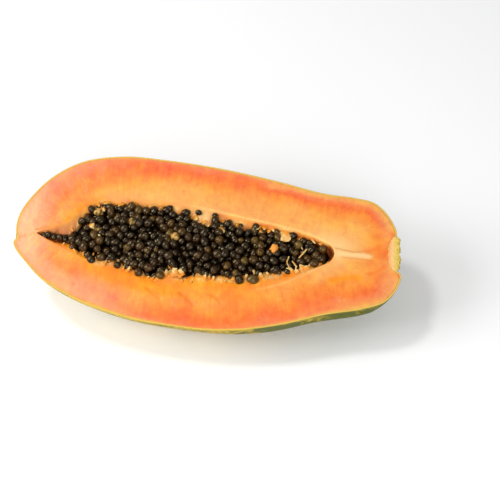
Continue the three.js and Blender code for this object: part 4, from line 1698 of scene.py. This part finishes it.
@dataclass
class Shred:
    """One larger shred of torn flesh: a flattened, uneven tube along a short path."""

    path: Places
    radii: tuple[float, ...]
    tone: float
    flatness: float = 0.55
    rooted: float = 1.0
    steps: int = 14
    sides: int = 14
    lift: float = 1.5
    jag_size: float = 1.7
    jag_share: float = 0.8
    jag_most: float = 1.6

    def sections(self, form: FruitForm) -> Points:
        """Builds the shred's rings of points, in the fruit's frame.

        Args:
            form: The fruit, whose seeds the path's heights are measured from.

        Returns:
            Rings along the path that close to a point at both ends.
        """
        given = np.array(self.path, float)
        u, v, _ = given.T
        given[:, 2] += form.seed_level(u, form.across(u, v)) + self.lift
        shares = np.linspace(0, 1, self.steps + 1)
        knots = np.linspace(0, 1, len(given))
        line = np.stack([np.interp(shares, knots, given[:, i]) for i in range(3)], -1)
        radius = np.interp(shares, np.linspace(0, 1, len(self.radii)), self.radii)
        radius *= np.sqrt(np.clip(1 - (2 * shares - 1) ** 6, 0, 1))
        ahead = np.gradient(line, axis=0)
        ahead /= np.linalg.norm(ahead, axis=1, keepdims=True)
        aside = np.cross(ahead, (0.0, 0.0, 1.0))
        aside /= np.maximum(np.linalg.norm(aside, axis=1, keepdims=True), 1e-6)
        over = np.cross(aside, ahead)
        turns = np.linspace(0, math.tau, self.sides, endpoint=False)[None, :, None]
        ring = aside[:, None] * np.cos(turns) + over[:, None] * np.sin(turns) * self.flatness
        grid = line[:, None] + ring * radius[:, None, None]
        flat = grid.reshape(-1, 3)
        jag = rough_ways(flat, self.jag_size, 4.0).reshape(grid.shape)
        return grid + jag * np.minimum(radius, self.jag_most)[:, None, None] * self.jag_share


@dataclass
class TornLining:
    """The pale stubs and shreds round the hollow, from which the seeds hung.

    Tufts are [u, width] rows, where the stubs grow closer and thicker.
    """

    form: FruitForm
    resting: Resting
    per_side: int = 84
    between_tufts: float = 0.3
    highest_root: float = 0.52
    lowest_root: float = 0.84
    cone_height: float = 1.3
    wide_range: Span = (1.1, 2.3)
    tall_range: Span = (1.8, 3.2)
    thick_range: Span = (0.5, 0.9)
    swollen_range: Span = (0.75, 1.4)
    lean_range: Span = (0.5, 1.0)
    rise_range: Span = (0.0, 0.5)
    turn_reach: float = 0.6
    sunk: float = 0.2
    tone_most: float = 0.8
    tone_power: float = 1.2
    lump_scale: float = 420.0
    lump_depth: float = 0.001
    zone: Span = (26.0, 216.0)
    first: int = 4451
    near_tufts: Pairs = (
        (47.5, 3), (61.5, 7), (79, 5), (107, 7), (131, 6), (152, 3), (167, 6), (189, 7), (203, 4),
    )
    far_tufts: Pairs = (
        (60, 4), (76, 5), (101, 5), (110, 6), (127, 9), (142, 5), (151, 6), (172, 7), (196, 9),
    )
    shreds: tuple[Shred, ...] = (
        Shred(((176.2, 1.6, 0.4), (178.8, 1, 1), (181.4, 0.4, 0.4)), (2.8, 3.7, 2.8), 0.88, 0.75, 0.4),
        Shred(((184, 17.5, -1.4), (185.2, 12.5, 0), (185.8, 6.6, 0.2)), (5, 4.6, 3.6), 0.35, 0.24),
        Shred(((180, 16.5, -1), (181.5, 12, 0), (181, 9.5, 0.2)), (2, 1.5, 0.7), 0.3, 0.3),
        Shred(((139, 15, -1.6), (141, 12.4, -0.2), (144.4, 10.4, 0.4)), (2.4, 2.2, 1.2), 0.2, 0.35),
        Shred(((151.5, 16.5, -1.6), (154, 13.4, -0.2), (156.6, 11, 0.4)), (2.2, 2.6, 1.4), 0.25, 0.35),
        Shred(((58, 26, -1.4), (59.4, 24.2, 0.2), (61.4, 22.6, 0.8)), (1.4, 1.8, 1), 0.35, 0.5),
        Shred(((51.6, 13.4, -0.6), (53.2, 11.6, 0.8), (54.6, 9.6, 0.4)), (1.2, 1.7, 0.9), 0.1, 0.5),
        Shred(((58, 5.4, 0.4), (60.2, 3.6, 1.2), (62.2, 2.6, 0.6)), (0.7, 0.8, 0.4), 0.1, 0.5, 0),
        Shred(((194.6, -6, 0.2), (198.2, -1.5, 1.4), (201.4, 2.8, 1.2)), (0.4, 0.6, 0.4), 0.45, 0.9, 0),
        Shred(((189.2, -3.2, 0), (187.6, -8, 0.8), (190.6, -14, 0.4)), (0.5, 0.35, 0.45), 0.5, 0.8, 0),
        Shred(((191, -6.4, 0.2), (194.2, -10.4, 0.6), (193.4, -13.6, 0)), (0.45, 0.5, 0.3), 0.5, 0.8, 0),
        Shred(((193.4, 4.4, 0.2), (196.2, 5, 0.9), (198.4, 1.8, 0.3)), (0.45, 0.7, 0.4), 0.3, 0.8, 0),
        Shred(((200, -14.5, -0.8), (198.2, -10.6, 0.2), (196.4, -8.4, 0.6)), (2.6, 1.9, 0.8), 0.35, 0.45),
        Shred(((206.5, -12.4, -0.8), (203.4, -11, 0), (201.8, -9.2, 0.4)), (2.6, 2, 0.8), 0.4, 0.5),
        Shred(((194.5, -17.5, -0.8), (194.8, -14, 0), (194, -12.2, 0.4)), (2.4, 1.8, 0.8), 0.3, 0.5),
        Shred(((212, -7.6, -1), (208.4, -8.2, -0.2), (206.8, -7, 0)), (2, 1.5, 0.6), 0.45, 0.5),
        Shred(((113.5, -22, -0.6), (112.5, -18.6, 0.5), (110.8, -16.2, 0.8)), (3.4, 2.6, 1), 0.25, 0.4),
        Shred(((117.5, -21.5, -0.6), (116.2, -18.4, 0.5), (115.6, -16.8, 0.7)), (2.6, 2.2, 0.8), 0.1, 0.4),
    )

    def swelling(self, side: Side, u: float) -> float:
        """Returns how thick the stubs grow at u, from 0 to 1 in the middle of a tuft."""
        tufts = self.far_tufts if side is Side.FAR else self.near_tufts
        return max(math.exp(-(((u - at) / width) ** 2)) for at, width in tufts)

    def cloud(self) -> bpy.types.Object:
        """Makes the cloud of stubs, which lean from the slope over the seeds."""
        draw = Draw(self.first)
        places, aims, sizes, tones = [], [], [], []
        for side in Side:
            for i in range(self.per_side):
                u = mix(*self.zone, (i + draw()) / self.per_side)
                tuft = self.swelling(side, u)
                if draw() > mix(self.between_tufts, 1.0, tuft):
                    continue
                share = draw.between(self.highest_root, mix(self.lowest_root, 1.0, tuft))
                lip, bed = float(self.form.lip(side, u)), float(self.form.brink(side, u))
                w = float(self.form.shoulder(u)) * min(share, 1) ** 2
                swollen = mix(*self.swollen_range, tuft)
                wide, tall = (draw.between(*span) * swollen for span in (self.wide_range, self.tall_range))
                inward = draw.between(*self.lean_range)
                places.append((u, mix(lip, bed, share), w - self.sunk))
                turn, rise = draw.around(self.turn_reach), draw.between(*self.rise_range)
                aims.append((turn, -side.value * inward, rise))
                sizes.append((wide, draw.between(*self.thick_range), tall))
                tones.append(self.tone_most * draw() ** self.tone_power)
        spin = np.array([draw.around(self.turn_reach) for _ in places])
        turns = angles_to(self.resting.direction(np.array(aims)), spin)
        placed = self.resting.place(np.array(places))
        return cloud_of("stub_cloud", placed, turns, np.array(sizes), np.array(tones))

    def build_stubs(self) -> bpy.types.Object:
        """Grows the stubs with Geometry Nodes."""
        grower = Grower("stub_grower", {
            "Unit": MM, "Lump scale": self.lump_scale, "Lump depth": self.lump_depth,
        })
        cone = grower.take(0, "GeometryNodeMeshCone", {
            "Vertices": 8, "Side Segments": 5, "Fill Segments": 1,
            "Radius Top": 0.3, "Radius Bottom": 1.0, "Depth": self.cone_height,
        })
        height = grower.take("Z", "ShaderNodeSeparateXYZ", {0: grower.position()})
        marked = grower.store(cone, "along", grower.math("DIVIDE", height, self.cone_height))
        grown = grower.scaled(marked, *[grower.given["Unit"]] * 3)
        return grower.run("papaya_lining_stubs", self.cloud(), grown, LiningFinish().material())

    def build_shreds(self) -> bpy.types.Object:
        """Builds the larger shreds of flesh that lie among the seeds, as one piece."""
        whole = bmesh.new()
        tones: list[float] = []
        along: list[float] = []
        for shred in self.shreds:
            rings = shred.sections(self.form)
            one = self.resting.loft("shred", rings)
            root, tip = rings[0].mean(0), rings[-1].mean(0)
            reach = (self.resting.back(one) - root) @ (tip - root) / np.sum((tip - root) ** 2)
            along += (1 - (1 - np.clip(reach, 0, 1)) * shred.rooted).tolist()
            tones += [shred.tone] * len(reach)
            whole.from_mesh(one.data)
            bpy.data.meshes.remove(one.data)
        mesh = bpy.data.meshes.new("papaya_lining_shreds")
        whole.to_mesh(mesh)
        whole.free()
        mesh.shade_smooth()
        made = linked("papaya_lining_shreds", mesh)
        paint(made, "tone", np.array(tones))
        paint(made, "along", np.array(along))
        return made

    def build(self) -> Iterator[bpy.types.Object]:
        """Builds and dresses the stubs and the shreds."""
        stubs = self.build_stubs()
        yield hand_over(stubs, stubs.data.materials[0], "flesh", "fruit_half")
        yield hand_over(self.build_shreds(), stubs.data.materials[0], "flesh", "fruit_half")


@dataclass
class StalkScar:
    """The corky remnant of the stalk, cut through with the fruit."""

    form: FruitForm
    resting: Resting
    v: float = 0.8
    inner: float = 255.3
    outer: float = 263.8
    radius: float = 12.0
    proud: float = 0.2
    sunk: float = 0.7
    stations: int = 40
    facets: int = 96
    face_steps: int = 41
    inner_fray: float = 1.4
    outer_fray: float = 1.7
    swell: Pairs = ((0, 0.45), (0.2, 0.6), (0.38, 0.84), (0.55, 1), (0.76, 1), (1, 0.84))

    def sections(self) -> Points:
        """Builds the scar's rings: half a ribbed disc with a ragged rim, closed by the cut face.

        Returns:
            Rings of points in the fruit's frame, from the flesh outwards.
        """
        along = np.linspace(0, 1, self.stations + 1)
        turns = np.linspace(0, math.pi, self.facets + 1)
        ribs = 1 + 0.04 * np.cos(10 * turns) + 0.02 * np.cos(23 * turns + 1)
        radius = self.radius * np.interp(along, *np.array(self.swell).T)[:, None] * ribs[None, :]
        rim = np.stack([np.cos(turns), np.sin(turns), turns * 0], -1) * self.radius
        ragged = (1.3 * rough(rim, 3.4) + 0.6 * rough(rim, 1.1))[None, :] * along[:, None] ** 2
        u = mix(self.inner, self.outer, along)[:, None] + ragged
        side = np.stack([u, self.v + radius * np.cos(turns), -radius * np.sin(turns)], -1)
        towards_near = np.linspace(1, 0, self.face_steps + 1)[None, 1:-1, None]
        face = mix(side[:, -1:], side[:, :1], 1 - towards_near)
        uneven = 0.35 * rough(face.reshape(-1, 3), 1.3).reshape(face.shape[:2])
        face[..., 2] = mix(-self.sunk, self.proud, ease(along, 0.0, 0.16))[:, None] + uneven
        across = face[0] * [0, 1, 0]
        fray = (rough(across, 3.1, 9.0) + 0.5 * rough(across, 1.0, 4.0))[None, :]
        outer, inner = along[:, None] ** 2, (1 - along[:, None]) ** 2
        face[..., 0] += fray * (self.outer_fray * outer - self.inner_fray * inner)
        sections = np.concatenate([side, face], 1)
        inner_cap, outer_cap = (
            np.broadcast_to(sections[row].mean(0), sections[row].shape)[None] for row in (0, -1)
        )
        return np.concatenate([inner_cap, sections, outer_cap - [1.0, 0, 0]])

    def build(self) -> Iterator[bpy.types.Object]:
        """Builds and dresses the scar."""
        made = self.resting.loft("papaya_stalk_scar", self.sections())
        spots = self.resting.back(made)
        cracks = rough(spots * [0.4, 1, 1], 1.1, 5.0)
        outward = (spots[:, 0] - self.inner) / (self.outer - self.inner)
        paint(made, "crack", ease(cracks, 0.25, 0.5) * 0.45 * ease(outward, 0.45, 0.9))
        paint(made, "outward", np.clip(np.maximum(outward, ease(-spots[:, 2], 0.5, 3)), 0, 1))
        yield hand_over(made, ScarFinish().material(), "stalk", "stalk_scar")


@dataclass
class Studio:
    """A pale table, soft lights and the camera."""

    azimuth: float = 2.9
    elevation: float = 52.9
    distance: float = 0.812
    lens: float = 84.7
    target: Place = (0.0294, 0.0016, 0.045)
    table_half: float = 3.0
    lamps: tuple[tuple[str, Place, float, float], ...] = (
        ("key_light", (-1.15, -0.3, 0.85), 0.8, 13.2),
        ("fill_light", (0.45, -1.2, 0.9), 1.2, 10.8),
        ("spark_light", (-0.5, 0.1, 1.2), 0.18, 3.8),
    )
    sky: Colour = (1.0, 0.98, 0.95, 1.0)
    sky_strength: float = 0.42

    def floor(self) -> None:
        """Lays the table."""
        corners = self.table_half * np.array([(-1, -1, 0), (1, -1, 0), (1, 1, 0), (-1, 1, 0)])
        made = mesh_object("studio_floor", corners, [(0, 1, 2, 3)])
        made.data.materials.append(FloorFinish().material())

    def lamp(self, name: str, place: Place, size: float, power: float) -> None:
        """Hangs a square soft light that faces the fruit.

        Args:
            name: The light's name.
            place: Where it hangs, in metres.
            size: Its side, in metres.
            power: Its power, in watts.
        """
        light = bpy.data.lights.new(name, "AREA")
        light.energy, light.size = power, size
        made = linked(name, light)
        made.location = place
        made.rotation_euler = (-Vector(place)).to_track_quat("-Z", "Y").to_euler()

    def lights(self) -> None:
        """Hangs the lights and sets the sky."""
        for name, place, size, power in self.lamps:
            self.lamp(name, place, size, power)
        world = bpy.data.worlds.new("studio_sky")
        world.use_nodes = True
        background = world.node_tree.nodes["Background"]
        background.inputs["Color"].default_value = self.sky
        background.inputs["Strength"].default_value = self.sky_strength
        bpy.context.scene.world = world
        bpy.context.scene.view_settings.view_transform = "Standard"

    def camera(self) -> None:
        """Sets the camera at the photograph's angle."""
        turn, rise = math.radians(self.azimuth), math.radians(self.elevation)
        back = Vector((math.sin(turn) * math.cos(rise), -math.cos(turn) * math.cos(rise), math.sin(rise)))
        lens = bpy.data.cameras.new("camera")
        lens.lens, lens.sensor_width = self.lens, 36.0
        made = linked("camera", lens)
        made.location = Vector(self.target) + back * self.distance
        made.rotation_euler = (-back).to_track_quat("-Z", "Y").to_euler()
        bpy.context.scene.camera = made

    def build(self) -> None:
        """Lays the table, hangs the lights and sets the camera."""
        self.floor()
        self.lights()
        self.camera()


def main() -> None:
    """Builds the studio and every piece of the half papaya."""
    logging.basicConfig(level=logging.INFO, format="%(name)s: %(message)s")
    Studio().build()
    form = FruitForm()
    resting = Resting(form)
    for part in (CutFruit, SeedMass, TornLining, StalkScar):
        for made in part(form, resting).build():
            LOG.info("finished %s", made.name)


if __name__ == "__main__":
    main()
